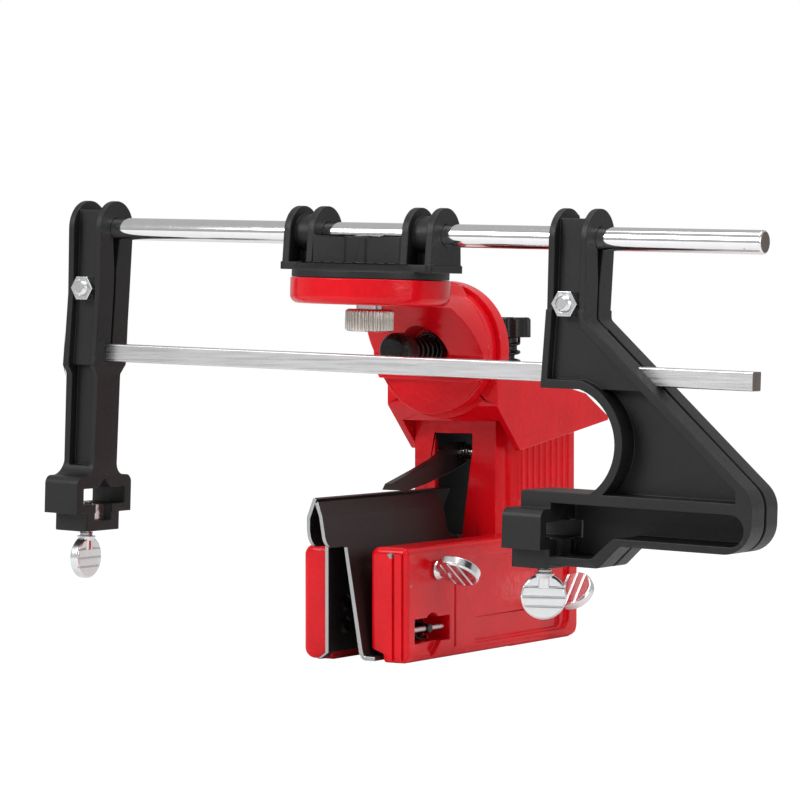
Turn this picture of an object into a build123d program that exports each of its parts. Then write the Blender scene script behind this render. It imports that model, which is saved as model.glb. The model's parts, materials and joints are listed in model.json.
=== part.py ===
"""Chainsaw file guide that clamps on the saw bar, in millimetres.

X runs along the guide rod, Y along the saw bar to the back, Z is up. The origin is on the face
that seats the saw bar, at the front of the jaws, level with the jaw bottoms.
The head is modelled level about its swivel axis and rod, then tipped about the tilt axis.
"""
import os
from math import atan2, cos, pi, radians, sin, sqrt, tan

from build123d import *

# Shared fits
over = 3.0
running = 0.05
seat = 0.1
air = 0.3

# Clamp body: jaws
jaw_length = 123.0
jaw_height = 40.0
plate_thick = 1.4
left_jaw_wide = 11.9
slot_wide = 14.5
right_jaw_wide = 14.9
jaw_round = 2.2
jaw_front_round = 2.4
jaw_corner_round = 2.1
left_jaw_round = 3.8
jaw_mouth_round = 3.2
jaw_heel_round = 5.0
corner_rib_depth = 1.3
corner_rib_wide = 1.9

# Clamp body: side panels and pockets
side_panel_front = 43.3
side_panel_back = 117.0
side_panel_top = 34.6
side_panel_low = 3.4
side_panel_deep = 1.5
side_panel_round = 5.0
side_band_high = 12.3
side_band_deep = 2.6
side_line_front = 32.6
side_line_wide = 0.9
side_round = 2.0
stud_pocket_front = 5.6
stud_pocket_back = 29.3
stud_pocket_low = 6.4
stud_pocket_high = 14.9
stud_pocket_deep = 10.8
stud_pocket_r = 5.1
stud_pocket_z = 11.4
vee_half = 6.0
vee_low = 0.9
vee_deep = 2.2
flare_room_high = 5.0
flare_room_wide = 5.4
flare_room_low = 3.0

# Clamp body: tower
tower_front = 74.0
tower_left = -12.3
tower_right = 28.2
tower_cove = 5.9
window_left = -3.4
window_top = 77.0
window_top_right = 12.2
window_low_right = 7.5
slot_roof = 37.0
flute_r = 1.5
flute_pitch = 4.4
flute_low = 53.0
flute_start = 8.0
flute_count = 9
tower_round = 2.0

# Plates
plate_panel_top = 55.5
fixed_panel_front = -14.5
moving_panel_front = -17.0
moving_panel_back = 64.5
plate_panel_back = 76.0
plate_rise_room = 1.1
plate_low_front = -4.0
plate_low_back = 118.0
plate_corner = 4.0
plate_bend = 1.0
foot_bend = 2.2
fixed_knee_z = 50.0
fixed_bulge_z = 46.0
fixed_bulge = 0.8
fixed_top_z = 56.8
fixed_top_in = 1.9
moving_knee_z = 51.0
moving_top_in = 1.0
fixed_flare_high = 2.4
fixed_flare_out = 3.4
plate_low = 0.4
lean_deg = 9.5
plate_hinge_in = 0.1
plate_hinge_z = 3.4
moving_face_in = 0.55
moving_flare_long = 4.6
moving_flare_low = 0.9
rivet_r = 2.0
rivet_head_high = 0.9
rivet_y = 7.2
rivet_z = 11.5
rivet_step = 8.0
rivet_pairs = 2
rivet_depth = 5.0

# Stud that carries the moving plate's return spring
stud_y = 17.5
stud_z = 11.0
stud_r = 1.7
stud_end_in = 0.9
stud_head_r = 3.1
stud_head_high = 0.9
stud_play = 1.6
pin_r = 1.0
pin_long = 20.7
pin_from_end = 1.6
return_wire = 0.9
return_spring_r = 3.9
return_turns = 3

# Clamp screws: shank, then the grooved disc head that turns it
clamp_screw_r = 2.5
clamp_screw_in = 0.25
front_screw_y = 20.4
front_screw_z = 31.3
rear_screw_from_back = 18.7
rear_screw_z = 18.4
screw_boss_r = 6.0
head_gap = 0.7
front_turn_deg = 56.0
rear_turn_deg = -42.0

# Disc heads of all four thumb screws
disc_r = 7.8
disc_thick = 3.8
disc_edge = 0.6
disc_groove_deep = 0.4
disc_groove_wide = 0.5
disc_groove_pitch = 3.3
disc_groove_count = 3
neck_r = 3.6
neck_long = 1.4
neck_gap = 1.3
shank_socket_deep = 5.0

# Elevator head
cap_left = -15.5
cap_right = 31.0
cap_face = 60.0
cap_nose_thick = 6.0
cap_nose_low = 87.5
cap_chin_y = 77.0
cap_chin_z = 71.0
cap_tail_room = 22.0
cap_tail_low = 80.4
cap_tail_high = 82.0
cap_shoulder_room = 4.0
cap_shoulder_z = 91.0
cap_top_room = 15.0
cap_top_z = 97.0
cap_round = 1.5
ring_r = 25.0
ring_deep = 6.0
ring_lip = 2.2
ring_back_r = 17.0
ring_back_deep = 7.0
cap_rib_wide = 20.0
elevator_down = 3.0

# Height screw, its knob and spring
height_from_back = 16.0
height_x = 8.0
height_boss_r = 8.0
height_screw_r = 3.0
height_screw_low = 64.0
height_spring_room = 15.0
height_knob_high = 7.5
height_knob_r = 9.0
height_lobes = 7
height_lobe_r = 2.2
knob_round = 1.2
height_spring_r = 4.6
height_wire = 1.2
height_turns = 3
height_collar_r = 3.9

# Tilting head
head_x = 7.5
tilt_z = 107.7
head_tip_deg = 1.8
tilt_disc_r = 23.2
tilt_disc_thick = 5.9
tilt_bolt_r = 3.0
tilt_knob_front = 25.5
tilt_knob_long = 8.0
tilt_knob_r = 6.35
tilt_knob_round = 3.2
tilt_bolt_in = 2.6
tilt_collar_r = 4.6
tilt_collar_long = 1.2
tilt_wire = 1.2
tilt_spring_r = 4.7
tilt_turns = 4
cup_r = 6.25
cup_long = 4.0
cup_wall = 1.0
cup_room = 2.4
platform_r = 28.0
platform_top = 15.6
platform_bottom = 24.6
platform_round = 3.0
web_front = 10.0
web_shoulder_half = 9.0
web_knee_back = 26.5
web_drop = 27.0
web_hollow = 3.4

# Swivel table that cradles the guide rod
swivel_y = 10.4
rod_rise = 40.8
table_ring_r = 27.6
table_ring_low = 15.5
table_flange_low = 13.0
table_flange_high = 10.3
table_half_long = 31.0
table_half_deep = 12.0
ear_end_room = 0.45
ear_gap = 9.9
ear_thick = 2.75
ear_half_deep = 9.5
ear_base_half = 10.2
ear_boss_r = 6.6
table_wall_thick = 2.4
table_wall_top = 0.9
table_hub_half = 5.5
table_hub_r = 8.4
table_mark_high = 0.35
table_mark_wide = 0.5
table_mark_long = 3.0
table_mark_pitch = 4.4
table_mark_side = 5

# Swivel stud, washer and knurled nut
swivel_stud_r = 3.0
swivel_head_r = 5.0
swivel_head_high = 3.6
swivel_stud_low = 33.4
washer_r = 4.75
washer_thick = 1.4
swivel_nut_r = 8.5
swivel_nut_high = 7.8
knurl_count = 40
knurl_r = 0.4

# Guide rod and square bar
rod_r = 4.0
rod_left = -122.0
rod_right = 151.0
rod_chamfer = 0.5
bar_side = 6.4
bar_left = -122.0
bar_right = 149.5
bar_drop = 45.4
bar_chamfer = 0.35
bar_fit = 0.08

# Arms: the grip on rod and bar
left_grip_left = -124.4
right_grip_left = 76.2
grip_wide = 14.5
grip_top_r = 10.1
grip_waist_half = 9.3
grip_low_half = 9.5
grip_bend_drop = 24.0
grip_drop = 50.3
grip_bend_lean = 0.5
grip_lean = 1.8
grip_web_half = 6.5
grip_web_top = 6.6
arm_wall = 2.4
split_wide = 1.2
split_mouth_half = 2.4
split_mouth_drop = 15.0
arm_bolt_drop = 22.0
arm_bolt_r = 2.7
arm_bolt_out = 1.8
arm_nut_af = 8.4
arm_nut_high = 4.2
arm_head_r = 4.7
arm_head_high = 3.0
arm_head_round = 1.2

# Left arm below its grip
neck_half = 7.0
neck_top_drop = 53.6
neck_low_left = -126.7
neck_low_right = -112.7
neck_step_in = 0.4
neck_web_half = 3.5
neck_recess_drop = 87.0
neck_cove = 5.0

# File sockets of both arms
socket_half = 16.6
socket_top = 90.8
socket_low = 104.4
socket_wide = 14.9
socket_round = 3.0
left_socket_left = -127.9
right_socket_left = 64.8
foot_half = 10.8
foot_low = 111.1
foot_wide = 14.2
file_slot_half = 12.4
file_slot_top = 95.3
file_slot_low = 101.3
notch_half = 3.7
notch_top = 91.9
nut_slot_half = 4.9
nut_slot_low = 107.4
file_nut_half = 4.6
file_nut_high = 5.6
left_screw_x = -120.9
right_screw_x = 72.5
file_screw_r = 2.5
file_screw_top = 101.0
file_disc_drop = 121.4
left_disc_turn_deg = 88.5
right_disc_turn_deg = -29.0

# Right arm below its grip
cutout_x = 83.7
cutout_drop = 68.8
cutout_r = 19.3
cutout_low = 84.9
right_half = 10.1
right_rim = 3.0
right_web_half = 1.3
right_waist_drop = 27.0
right_waist_round = 6.0
right_end_x = 153.8
right_end_drop = 82.5
right_end_round = 10.0
right_belly_x = 106.0
right_belly_low = 101.8
right_foot_x = 98.4
right_foot_low = 109.6
beam_top_x = 68.2
edge_groove_wide = 1.6
edge_groove_deep = 1.8
edge_groove_y = 1.5
beam_slot_top = 88.8
beam_slot_low = 99.2
beam_slot_end_x = 151.0
beam_slot_end_round = 5.0
beam_slot_heel_x = 95.4
beam_slot_heel_low = 106.6
beam_slot_knee_x = 103.5

# Pawl that holds a chain tooth
pawl_left = 1.2
pawl_thick = 3.0
pawl_pin_y = 79.0
pawl_pin_z = 70.0
pawl_pin_r = 1.6
pawl_pin_sink = 5.0
pawl_reach = 49.7
pawl_nose_drop = 11.9
pawl_wire = 0.7
pawl_spring_r = 2.5
pawl_turns = 3
pawl_spring_long = 6.4

# Places worked out from the sizes above
right_jaw_left = slot_wide
right_jaw_right = slot_wide + right_jaw_wide
left_jaw_right = -plate_thick
left_jaw_left = left_jaw_right - left_jaw_wide
tower_back = jaw_length
rear_screw_y = jaw_length - rear_screw_from_back
height_y = jaw_length - height_from_back
height_knob_low = cap_top_z + height_spring_room
cap_top_y = height_y - cap_top_room
cap_shoulder_y = tower_back + cap_shoulder_room
cap_tail_y = tower_back + cap_tail_room
ear_outer = table_half_long - ear_end_room - ear_thick
ear_inner = ear_outer - ear_gap
plate_hinge_x = right_jaw_left - plate_hinge_in
screw_face = right_jaw_right
cap_wall_left = tower_left - seat - cap_left
tilt_face = cap_face - tilt_disc_thick - seat
HEAD = Pos(head_x, 0, tilt_z) * Rot(0, head_tip_deg, 0) * Pos(0, swivel_y, rod_rise)


def block(x0, x1, y0, y1, z0, z1):
    return Pos((x0 + x1) / 2, (y0 + y1) / 2, (z0 + z1) / 2) * Box(x1 - x0, y1 - y0, z1 - z0)


def rod_along_x(x0, x1, y, z, r):
    return Pos((x0 + x1) / 2, y, z) * Rot(0, 90, 0) * Cylinder(r, x1 - x0)


def rod_along_y(x, y0, y1, z, r):
    return Pos(x, (y0 + y1) / 2, z) * Rot(90, 0, 0) * Cylinder(r, y1 - y0)


def rod_along_z(x, y, z0, z1, r):
    return Pos(x, y, (z0 + z1) / 2) * Cylinder(r, z1 - z0)


def face_of(points, radii=None):
    if radii is None:
        return make_face(Polyline(*points, close=True))
    return make_face(FilletPolyline(*points, radius=radii, close=True))


def slab_x(points, x0, x1, radii=None):
    "a slab of the outline given as (Y, Z) points"
    return Pos(x0, 0, 0) * extrude(Plane.YZ * face_of(points, radii), amount=x1 - x0)


def slab_y(points, y0, y1, radii=None):
    "a slab of the outline given as (X, Z) points"
    return Pos(0, y1, 0) * extrude(Plane.XZ * face_of(points, radii), amount=y1 - y0)


def slab_z(points, z0, z1, radii=None):
    "a slab of the outline given as (X, Y) points"
    return Pos(0, 0, z0) * extrude(face_of(points, radii), amount=z1 - z0)


def hexagon_y(x, y0, y1, z, across_flats):
    outline = Plane.XZ * RegularPolygon(across_flats / 2, 6, major_radius=False)
    return Pos(x, y1, z) * extrude(outline, amount=y1 - y0)


def save(name, part):
    export_step(part, "parts/" + name + ".step")


def biarc(p0, t0, p1, t1):
    "two tangent arcs from one point and direction to another"
    p0, t0, p1, t1 = Vector(p0), Vector(t0).normalized(), Vector(p1), Vector(t1).normalized()
    span = p1 - p0
    both = t0 + t1
    bend = 2 * (1 - t0.dot(t1))
    reach = (-span.dot(both) + sqrt(span.dot(both) ** 2 + bend * span.dot(span))) / bend
    middle = (p0 + t0 * reach + p1 - t1 * reach) * 0.5
    first = TangentArc(p0, middle, tangent=t0)
    return [first, TangentArc(middle, p1, tangent=first % 1)]


def spring(radius, wire, length, turns, name):
    "one unbroken wire wound about Z from the origin, with straight ends square to the seats"
    lead = 2.4 * wire / radius
    ends = 2 * wire
    rise = (length - 2 * ends) / (2 * pi * turns)

    def point(turn):
        return Vector(radius * cos(turn), radius * sin(turn), ends + rise * turn)

    def heading(turn):
        return Vector(-radius * sin(turn), radius * cos(turn), rise)

    last = 2 * pi * turns
    start = Vector(radius * cos(-lead), radius * sin(-lead), wire)
    finish = Vector(radius * cos(last + lead), radius * sin(last + lead), length - wire)
    up = Vector(0, 0, 1)
    edges = [Line(start - up * wire, start)] + biarc(start, up, point(0), heading(0))
    for quarter in range(4 * turns):
        a, b = quarter * pi / 2, (quarter + 1) * pi / 2
        edges += biarc(point(a), heading(a), point(b), heading(b))
    edges += biarc(point(last), heading(last), finish, up)
    edges.append(Line(finish, finish + up * wire))
    coil = sweep(Plane(origin=edges[0] @ 0, z_dir=(0, 0, 1)) * Circle(wire / 2), path=Wire(edges))
    gap = rise * 2 * pi * cos(atan2(rise, radius)) - wire
    points = [point(k * pi / 12) for k in range(24 * turns + 1)]
    apart = [(p - q).length for i, p in enumerate(points) for q in points[i + 18:]]
    print(name, "least gap on points", round(min(apart) - wire, 3), "by pitch", round(gap, 3))
    return coil


def disc_head(turn_deg):
    "grooved disc head with its neck along +Z from zero, the disc's plane turned about Z"
    centre = neck_long + disc_r - neck_gap
    disc = Pos(0, 0, centre) * Rot(90, 0, 0) * Cylinder(disc_r, disc_thick)
    disc = chamfer(disc.edges().filter_by(GeomType.CIRCLE), disc_edge)
    for row in range(disc_groove_count):
        height = centre + (row - (disc_groove_count - 1) / 2) * disc_groove_pitch
        for side in (-1, 1):
            depth_y = side * (disc_thick / 2)
            cutter = Pos(0, depth_y, height) * Box(2 * disc_r, 2 * disc_groove_deep, disc_groove_wide)
            disc -= cutter
    neck = Cone(neck_r, disc_thick / 2, neck_long + neck_gap, align=(Align.CENTER, Align.CENTER, Align.MIN))
    head = disc + neck
    socket = Cylinder(clamp_screw_r, shank_socket_deep, align=(Align.CENTER, Align.CENTER, Align.MIN))
    return Rot(0, 0, turn_deg) * (head - socket)


def shank(radius, reach):
    "plain screw shank from inside the disc head to its coned tip at -reach"
    length = reach + shank_socket_deep
    stem = Pos(0, 0, -reach) * Cylinder(radius, length, align=(Align.CENTER, Align.CENTER, Align.MIN))
    return chamfer(stem.edges().sort_by(Axis.Z)[:1], radius * 0.5)


def side_panel():
    "the sunk panel on the right jaw's side"
    outer = right_jaw_right + over
    deep = right_jaw_right - side_panel_deep
    points = [
        (side_panel_front, side_panel_low),
        (side_panel_back, side_panel_low),
        (side_panel_back, side_panel_top - side_panel_deep),
        (side_panel_front, side_panel_top),
    ]
    panel = slab_x(points, deep, outer, side_panel_round)
    band = block(right_jaw_right - side_band_deep, outer, side_panel_front + side_panel_round,
                 side_panel_back - side_panel_round, side_panel_low + side_line_wide, side_band_high)
    band = fillet(band.edges().filter_by(Axis.X), side_round)
    line = block(deep, outer, side_line_front, side_line_front + side_line_wide,
                 side_panel_low, side_panel_top)
    return panel + band + line


def make_clamp_body():
    left = block(left_jaw_left, left_jaw_right, 0, jaw_length, 0, jaw_height)
    right = block(right_jaw_left, right_jaw_right, 0, jaw_length, 0, jaw_height)
    left = fillet(left.edges().filter_by(Axis.Y).sort_by(Axis.X)[:2], left_jaw_round)
    left = fillet(left.faces().sort_by(Axis.Y)[0].edges(), jaw_front_round)
    right = fillet(right.edges().filter_by(Axis.Y).group_by(Axis.Z)[-1].sort_by(Axis.X)[:1], jaw_mouth_round)
    right = fillet(right.edges().filter_by(Axis.Y).sort_by(Axis.X)[-2:], jaw_round)
    right = fillet(right.faces().sort_by(Axis.Y)[0].edges(), jaw_corner_round)
    cap_inner = cap_top_z - cap_wall_left
    lowered = elevator_down + 2 * seat
    tower = slab_x([
        (tower_front, 0),
        (tower_back, 0),
        (tower_back, cap_shoulder_z - cap_wall_left - lowered - tower_round),
        (cap_top_y, cap_inner - lowered - tower_round),
        (tower_front, cap_inner - lowered - tower_round),
    ], tower_left, tower_right)
    tower -= rod_along_z(tower_right, tower_front, jaw_height, cap_top_z, tower_cove)
    body = left + right + tower
    body -= slab_y([
        (left_jaw_right, -over),
        (right_jaw_left, -over),
        (right_jaw_left, slot_roof),
        (window_low_right, slot_roof),
        (window_top_right, window_top - tower_cove),
        (window_top_right, window_top),
        (window_left, window_top),
        (window_left, slot_roof),
        (left_jaw_right, slot_roof),
    ], -over, jaw_length + over)
    heel = block(left_jaw_left - over, tower_right + over, jaw_length - jaw_heel_round, jaw_length + over,
                 -over, jaw_heel_round)
    heel -= rod_along_x(left_jaw_left - over, tower_right + over, jaw_length - jaw_heel_round,
                        jaw_heel_round, jaw_heel_round)
    body -= heel
    for step in range(flute_count):
        y = tower_front + flute_start + step * flute_pitch
        body -= rod_along_z(tower_right + flute_r / 3, y, flute_low, cap_top_z, flute_r)
    for step in range(2):
        x = right_jaw_right - corner_rib_wide * (1.2 + 2 * step)
        body -= block(x, x + corner_rib_wide / 2, -over, corner_rib_depth, -over, jaw_height - jaw_round)
    body -= side_panel()
    body -= slab_y([
        (right_jaw_left - over, -over),
        (right_jaw_left + flare_room_wide, -over),
        (right_jaw_left + flare_room_wide, flare_room_low),
        (right_jaw_left, flare_room_high),
        (right_jaw_left - over, flare_room_high),
    ], -over, jaw_length + over)
    body -= make_stud_pocket()
    for y, z in ((front_screw_y, front_screw_z), (rear_screw_y, rear_screw_z)):
        body += rod_along_x(right_jaw_right - side_band_deep, screw_face, y, z, screw_boss_r)
        body -= rod_along_x(0, screw_face + over, y, z, clamp_screw_r + running)
    body -= rod_along_z(height_x, height_y, height_screw_low - air, cap_top_z, height_screw_r + running)
    body -= rod_along_x(window_left - pawl_pin_sink, window_top_right + pawl_pin_sink,
                        pawl_pin_y, pawl_pin_z, pawl_pin_r)
    for y, z in rivet_places():
        body -= rod_along_x(left_jaw_right - rivet_depth, left_jaw_right + over, y, z, rivet_r)
    return body


def make_stud_pocket():
    "pocket for the return spring, with a slot through to the moving plate"
    inner = right_jaw_right - stud_pocket_deep
    pocket = slab_x([
        (stud_pocket_front, stud_pocket_low),
        (stud_pocket_back, stud_pocket_low),
        (stud_pocket_back, stud_pocket_high),
        (stud_pocket_front, stud_pocket_high),
    ], inner, right_jaw_right + over)
    pocket += rod_along_x(inner, right_jaw_right + over, stud_y, stud_pocket_z, stud_pocket_r)
    pocket += slab_x([
        (stud_y - vee_half, stud_pocket_low + seat),
        (stud_y, vee_low),
        (stud_y + vee_half, stud_pocket_low + seat),
    ], right_jaw_right - vee_deep, right_jaw_right + over)
    hole_half = stud_r + stud_play
    slot = block(right_jaw_left - over, inner + over, stud_y - stud_r - air, stud_y + stud_r + air,
                 stud_z - hole_half, stud_z + hole_half)
    return pocket + slot


def rivet_places():
    places = []
    for row in range(rivet_pairs):
        places.append((rivet_y, rivet_z + row * rivet_step))
        places.append((jaw_length - rivet_y * 2, rivet_z + row * rivet_step))
    return places


def make_fixed_plate():
    flare_out = plate_thick + fixed_flare_out
    profile = slab_y([
        (0, plate_low + fixed_flare_high),
        (0, jaw_height + plate_bend),
        (-fixed_bulge, fixed_bulge_z),
        (-fixed_bulge, fixed_knee_z),
        (fixed_top_in, fixed_top_z),
        (fixed_top_in - plate_thick, fixed_top_z + plate_bend / 2),
        (-fixed_bulge - plate_thick, fixed_knee_z + plate_bend / 2),
        (-fixed_bulge - plate_thick, fixed_bulge_z),
        (-plate_thick, jaw_height + plate_bend),
        (-plate_thick, plate_low + fixed_flare_high),
        (-flare_out, plate_low),
        (-fixed_flare_out, plate_low),
    ], fixed_panel_front - over, plate_low_back + over)
    outline = slab_x([
        (fixed_panel_front, jaw_height + seat),
        (plate_low_front, jaw_height + seat),
        (plate_low_front, 0),
        (-seat, 0),
        (-seat, plate_low + fixed_flare_high),
        (plate_low_back, plate_low + fixed_flare_high),
        (plate_low_back, slot_roof - seat),
        (plate_panel_back, slot_roof - seat),
        (plate_panel_back, fixed_top_z + over),
        (fixed_panel_front, fixed_top_z + over),
    ], -flare_out - over, over, [plate_corner, plate_bend, 0, 0, 0, plate_bend, plate_bend, 0,
                                 plate_corner, 0])
    plate = profile & outline
    for y, z in rivet_places():
        plate -= rod_along_x(-plate_thick - over, over, y, z, rivet_r)
    return plate


def make_plate_rivets():
    rivets = []
    for y, z in rivet_places():
        stem = rod_along_x(left_jaw_right - rivet_depth, 0, y, z, rivet_r)
        dome = Pos(0, y, z) * Rot(0, 90, 0) * Cone(
            rivet_r * 1.6, rivet_r, rivet_head_high, align=(Align.CENTER, Align.CENTER, Align.MIN))
        rivets.append(stem + dome)
    return Compound(children=rivets)


def plate_line(height):
    "X of the moving plate's gripping face at a height"
    return plate_hinge_x - moving_face_in - plate_thick - (height - plate_hinge_z) * tan(radians(lean_deg))


def make_moving_plate():
    thick_x = plate_thick / cos(radians(lean_deg))
    knee = plate_hinge_z
    top = plate_panel_top
    flare_x = plate_hinge_x + moving_flare_long
    profile = slab_y([
        (plate_line(top) - moving_top_in, top),
        (plate_line(moving_knee_z), moving_knee_z),
        (plate_line(knee), knee),
        (plate_line(knee) + plate_thick, moving_flare_low),
        (flare_x, moving_flare_low),
        (flare_x, moving_flare_low + plate_thick),
        (plate_line(knee) + thick_x + plate_thick / 2, moving_flare_low + plate_thick),
        (plate_line(knee) + thick_x, knee + plate_thick),
        (plate_line(moving_knee_z) + thick_x, moving_knee_z),
        (plate_line(top) - moving_top_in + thick_x, top + plate_bend / 2),
    ], moving_panel_front, plate_low_back, [0, foot_bend, foot_bend, foot_bend, 0, 0,
                                            foot_bend / 2, foot_bend / 2, foot_bend, 0])
    outline = slab_x([
        (moving_panel_front, jaw_height + seat),
        (plate_low_front, jaw_height + seat),
        (plate_low_front, 0),
        (plate_low_back, 0),
        (plate_low_back, slot_roof - plate_rise_room),
        (plate_panel_back - plate_corner, slot_roof - plate_rise_room),
        (plate_panel_back - plate_corner, jaw_height + seat),
        (moving_panel_back, jaw_height + seat),
        (moving_panel_back, plate_panel_top + plate_bend / 2),
        (moving_panel_front, plate_panel_top + over),
    ], -over, right_jaw_right, [plate_corner, plate_bend, 0, plate_bend, plate_bend, 0, plate_bend,
                                plate_corner, plate_corner, 0])
    plate = profile & outline
    return plate - rod_along_x(0, right_jaw_left + over, stud_y, stud_z, stud_r)


def stud_span():
    head = plate_line(stud_z) - stud_head_high
    return head, right_jaw_right - stud_end_in


def make_plate_stud():
    head, end = stud_span()
    stem = rod_along_x(head, end, stud_y, stud_z, stud_r)
    cap = rod_along_x(head - stud_head_high / 2, plate_line(stud_z + stud_head_r),
                      stud_y, stud_z, stud_head_r)
    hole = rod_along_y(end - pin_from_end, 0, jaw_length, stud_z, pin_r)
    return chamfer((stem + cap).edges().filter_by(GeomType.CIRCLE).sort_by(Axis.X)[-1:], stud_r / 5) - hole


def make_plate_stud_pin():
    x = stud_span()[1] - pin_from_end
    middle = (stud_pocket_front + stud_pocket_back) / 2
    pin = rod_along_y(x, middle - pin_long / 2, middle + pin_long / 2, stud_z, pin_r)
    return chamfer(pin.edges().filter_by(GeomType.CIRCLE), pin_r / 4)


def make_return_spring():
    start = right_jaw_right - stud_pocket_deep
    length = stud_span()[1] - pin_from_end - pin_r - start
    coil = spring(return_spring_r, return_wire, length, return_turns, "plate_return_spring")
    return Pos(start, stud_y, stud_z) * Rot(0, 90, 0) * coil


def clamp_screws():
    "name, Y, Z and head angle of the two clamp screws"
    return (
        ("front_clamp", front_screw_y, front_screw_z, front_turn_deg),
        ("rear_clamp", rear_screw_y, rear_screw_z, rear_turn_deg),
    )


def clamp_reach(z):
    "length of a clamp screw from its head down to the moving plate"
    plate_back = plate_line(z) + plate_thick / cos(radians(lean_deg))
    tip_rise = clamp_screw_r * 0.5 * tan(radians(lean_deg))
    return screw_face + head_gap - plate_back - tip_rise - clamp_screw_in


def save_clamp_screws():
    for name, y, z, turn in clamp_screws():
        place = Pos(screw_face + head_gap, y, z) * Rot(0, 90, 0)
        save(name + "_wing", place * disc_head(turn))
        save(name + "_shank", place * shank(clamp_screw_r, clamp_reach(z)))


def make_elevator_head():
    outer = slab_x([
        (cap_face, cap_top_z),
        (cap_face, cap_nose_low),
        (cap_chin_y, cap_chin_z),
        (cap_tail_y, cap_tail_low),
        (cap_tail_y, cap_tail_high),
        (cap_shoulder_y, cap_shoulder_z),
        (cap_top_y, cap_top_z),
    ], cap_left, cap_right, [cap_round, cap_round, cap_round, 0, 0, cap_round, cap_round])
    roof = cap_wall_left
    hollow = slab_x([
        (cap_face + cap_nose_thick, cap_top_z - roof),
        (cap_face + cap_nose_thick, cap_chin_z - over),
        (cap_tail_y + over, cap_chin_z - over),
        (cap_tail_y + over, cap_tail_low - roof),
        (cap_tail_y - roof, cap_tail_low - roof),
        (cap_shoulder_y, cap_shoulder_z - roof),
        (cap_top_y, cap_top_z - roof),
    ], tower_left - seat, tower_right + seat)
    head = outer - hollow
    head += rod_along_y(head_x, cap_face, cap_face + ring_deep, tilt_z, ring_r)
    neck = Cone(ring_r - ring_lip, ring_back_r, ring_back_deep)
    head += Pos(head_x, cap_face + ring_deep + ring_back_deep / 2, tilt_z) * Rot(-90, 0, 0) * neck
    rib_back = cap_top_y + ring_back_deep / 2
    rib = slab_x([
        (cap_face + ring_deep, cap_top_z - roof / 2),
        (cap_face + ring_deep, tilt_z + ring_back_r),
        (cap_face + ring_deep + ring_back_deep, tilt_z + ring_back_r / 2),
        (rib_back, cap_top_z - roof / 2),
    ], head_x - cap_rib_wide / 2, head_x + cap_rib_wide / 2)
    head += rib
    head += rod_along_z(height_x, height_y, cap_shoulder_z, cap_top_z, height_boss_r)
    head -= rod_along_y(head_x, cap_face - over, cap_face + ring_deep + over, tilt_z, tilt_bolt_r)
    head -= rod_along_z(height_x, height_y, cap_chin_z, cap_top_z + over, height_screw_r + running)
    return head


def make_height_knob():
    knob = Cylinder(height_knob_r, height_knob_high, align=(Align.CENTER, Align.CENTER, Align.MIN))
    knob = fillet(knob.edges().filter_by(GeomType.CIRCLE).sort_by(Axis.Z)[-1:], knob_round)
    for lobe in range(height_lobes):
        angle = 2 * pi * lobe / height_lobes
        reach = height_knob_r + height_lobe_r / 2
        knob -= Pos(reach * cos(angle), reach * sin(angle), 0) * Cylinder(height_lobe_r, 4 * height_knob_high)
    collar_top = -height_wire * 2
    knob += Pos(0, 0, 2 * collar_top) * Cylinder(height_collar_r, -2 * collar_top,
                                                 align=(Align.CENTER, Align.CENTER, Align.MIN))
    knob -= Cylinder(height_screw_r, 4 * height_knob_high)
    return Pos(height_x, height_y, height_knob_low) * knob


def make_height_screw():
    top = height_knob_low + height_knob_high + seat
    screw = rod_along_z(height_x, height_y, height_screw_low, top, height_screw_r)
    return chamfer(screw.edges().filter_by(GeomType.CIRCLE), height_screw_r / 6)


def make_height_spring():
    length = height_knob_low - cap_top_z
    coil = spring(height_spring_r, height_wire, length, height_turns, "height_spring")
    return Pos(height_x, height_y, cap_top_z) * coil


def make_tilt_head():
    depth = swivel_y
    drop = rod_rise
    disc_front = tilt_face - depth
    disc_back = disc_front + tilt_disc_thick
    disc = rod_along_y(0, disc_front, disc_back, -drop, tilt_disc_r)
    platform = rod_along_z(0, 0, -platform_bottom, -platform_top, platform_r)
    platform = fillet(platform.edges().filter_by(GeomType.CIRCLE).sort_by(Axis.Z)[:1], platform_round)
    limit = rod_along_y(0, 0, disc_back, -drop, tilt_disc_r - running)
    limit += block(-tilt_disc_r + running, tilt_disc_r - running, 0, web_front, -drop, -platform_top)
    shoulder = slab_y([
        (-web_shoulder_half, -platform_top),
        (-tilt_disc_r + running, -drop),
        (tilt_disc_r - running, -drop),
        (web_shoulder_half, -platform_top),
    ], 0, disc_back)
    limit += shoulder
    side = slab_x([
        (0, -platform_top),
        (0, -platform_bottom),
        (web_front, -platform_bottom),
        (web_knee_back, -platform_bottom - web_hollow / 4),
        (disc_front - web_hollow, -drop - web_hollow / 3),
        (disc_front - web_hollow, -platform_bottom - web_drop),
        (disc_front, -platform_bottom - web_drop),
        (disc_front + tilt_disc_thick / 2, -platform_bottom - web_drop),
        (disc_front + tilt_disc_thick / 2, -platform_top - web_hollow / 2),
        (web_knee_back, -platform_top),
    ], -platform_r, platform_r)
    room = rod_along_y(0, -depth, disc_front, -drop, cup_r + cup_room)
    head = disc + platform + (side & limit)
    head -= room
    head -= rod_along_y(0, disc_front - over, disc_back + over, -drop, tilt_bolt_r + running)
    return head - rod_along_z(0, 0, -platform_bottom - over, 0, swivel_stud_r + running)


def make_tilt_bolt():
    end = tilt_knob_front + tilt_bolt_in
    bolt = rod_along_y(head_x, end, cap_face + ring_deep + over, tilt_z, tilt_bolt_r)
    return chamfer(bolt.edges().filter_by(GeomType.CIRCLE).sort_by(Axis.Y)[:1], tilt_bolt_r / 6)


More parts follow.
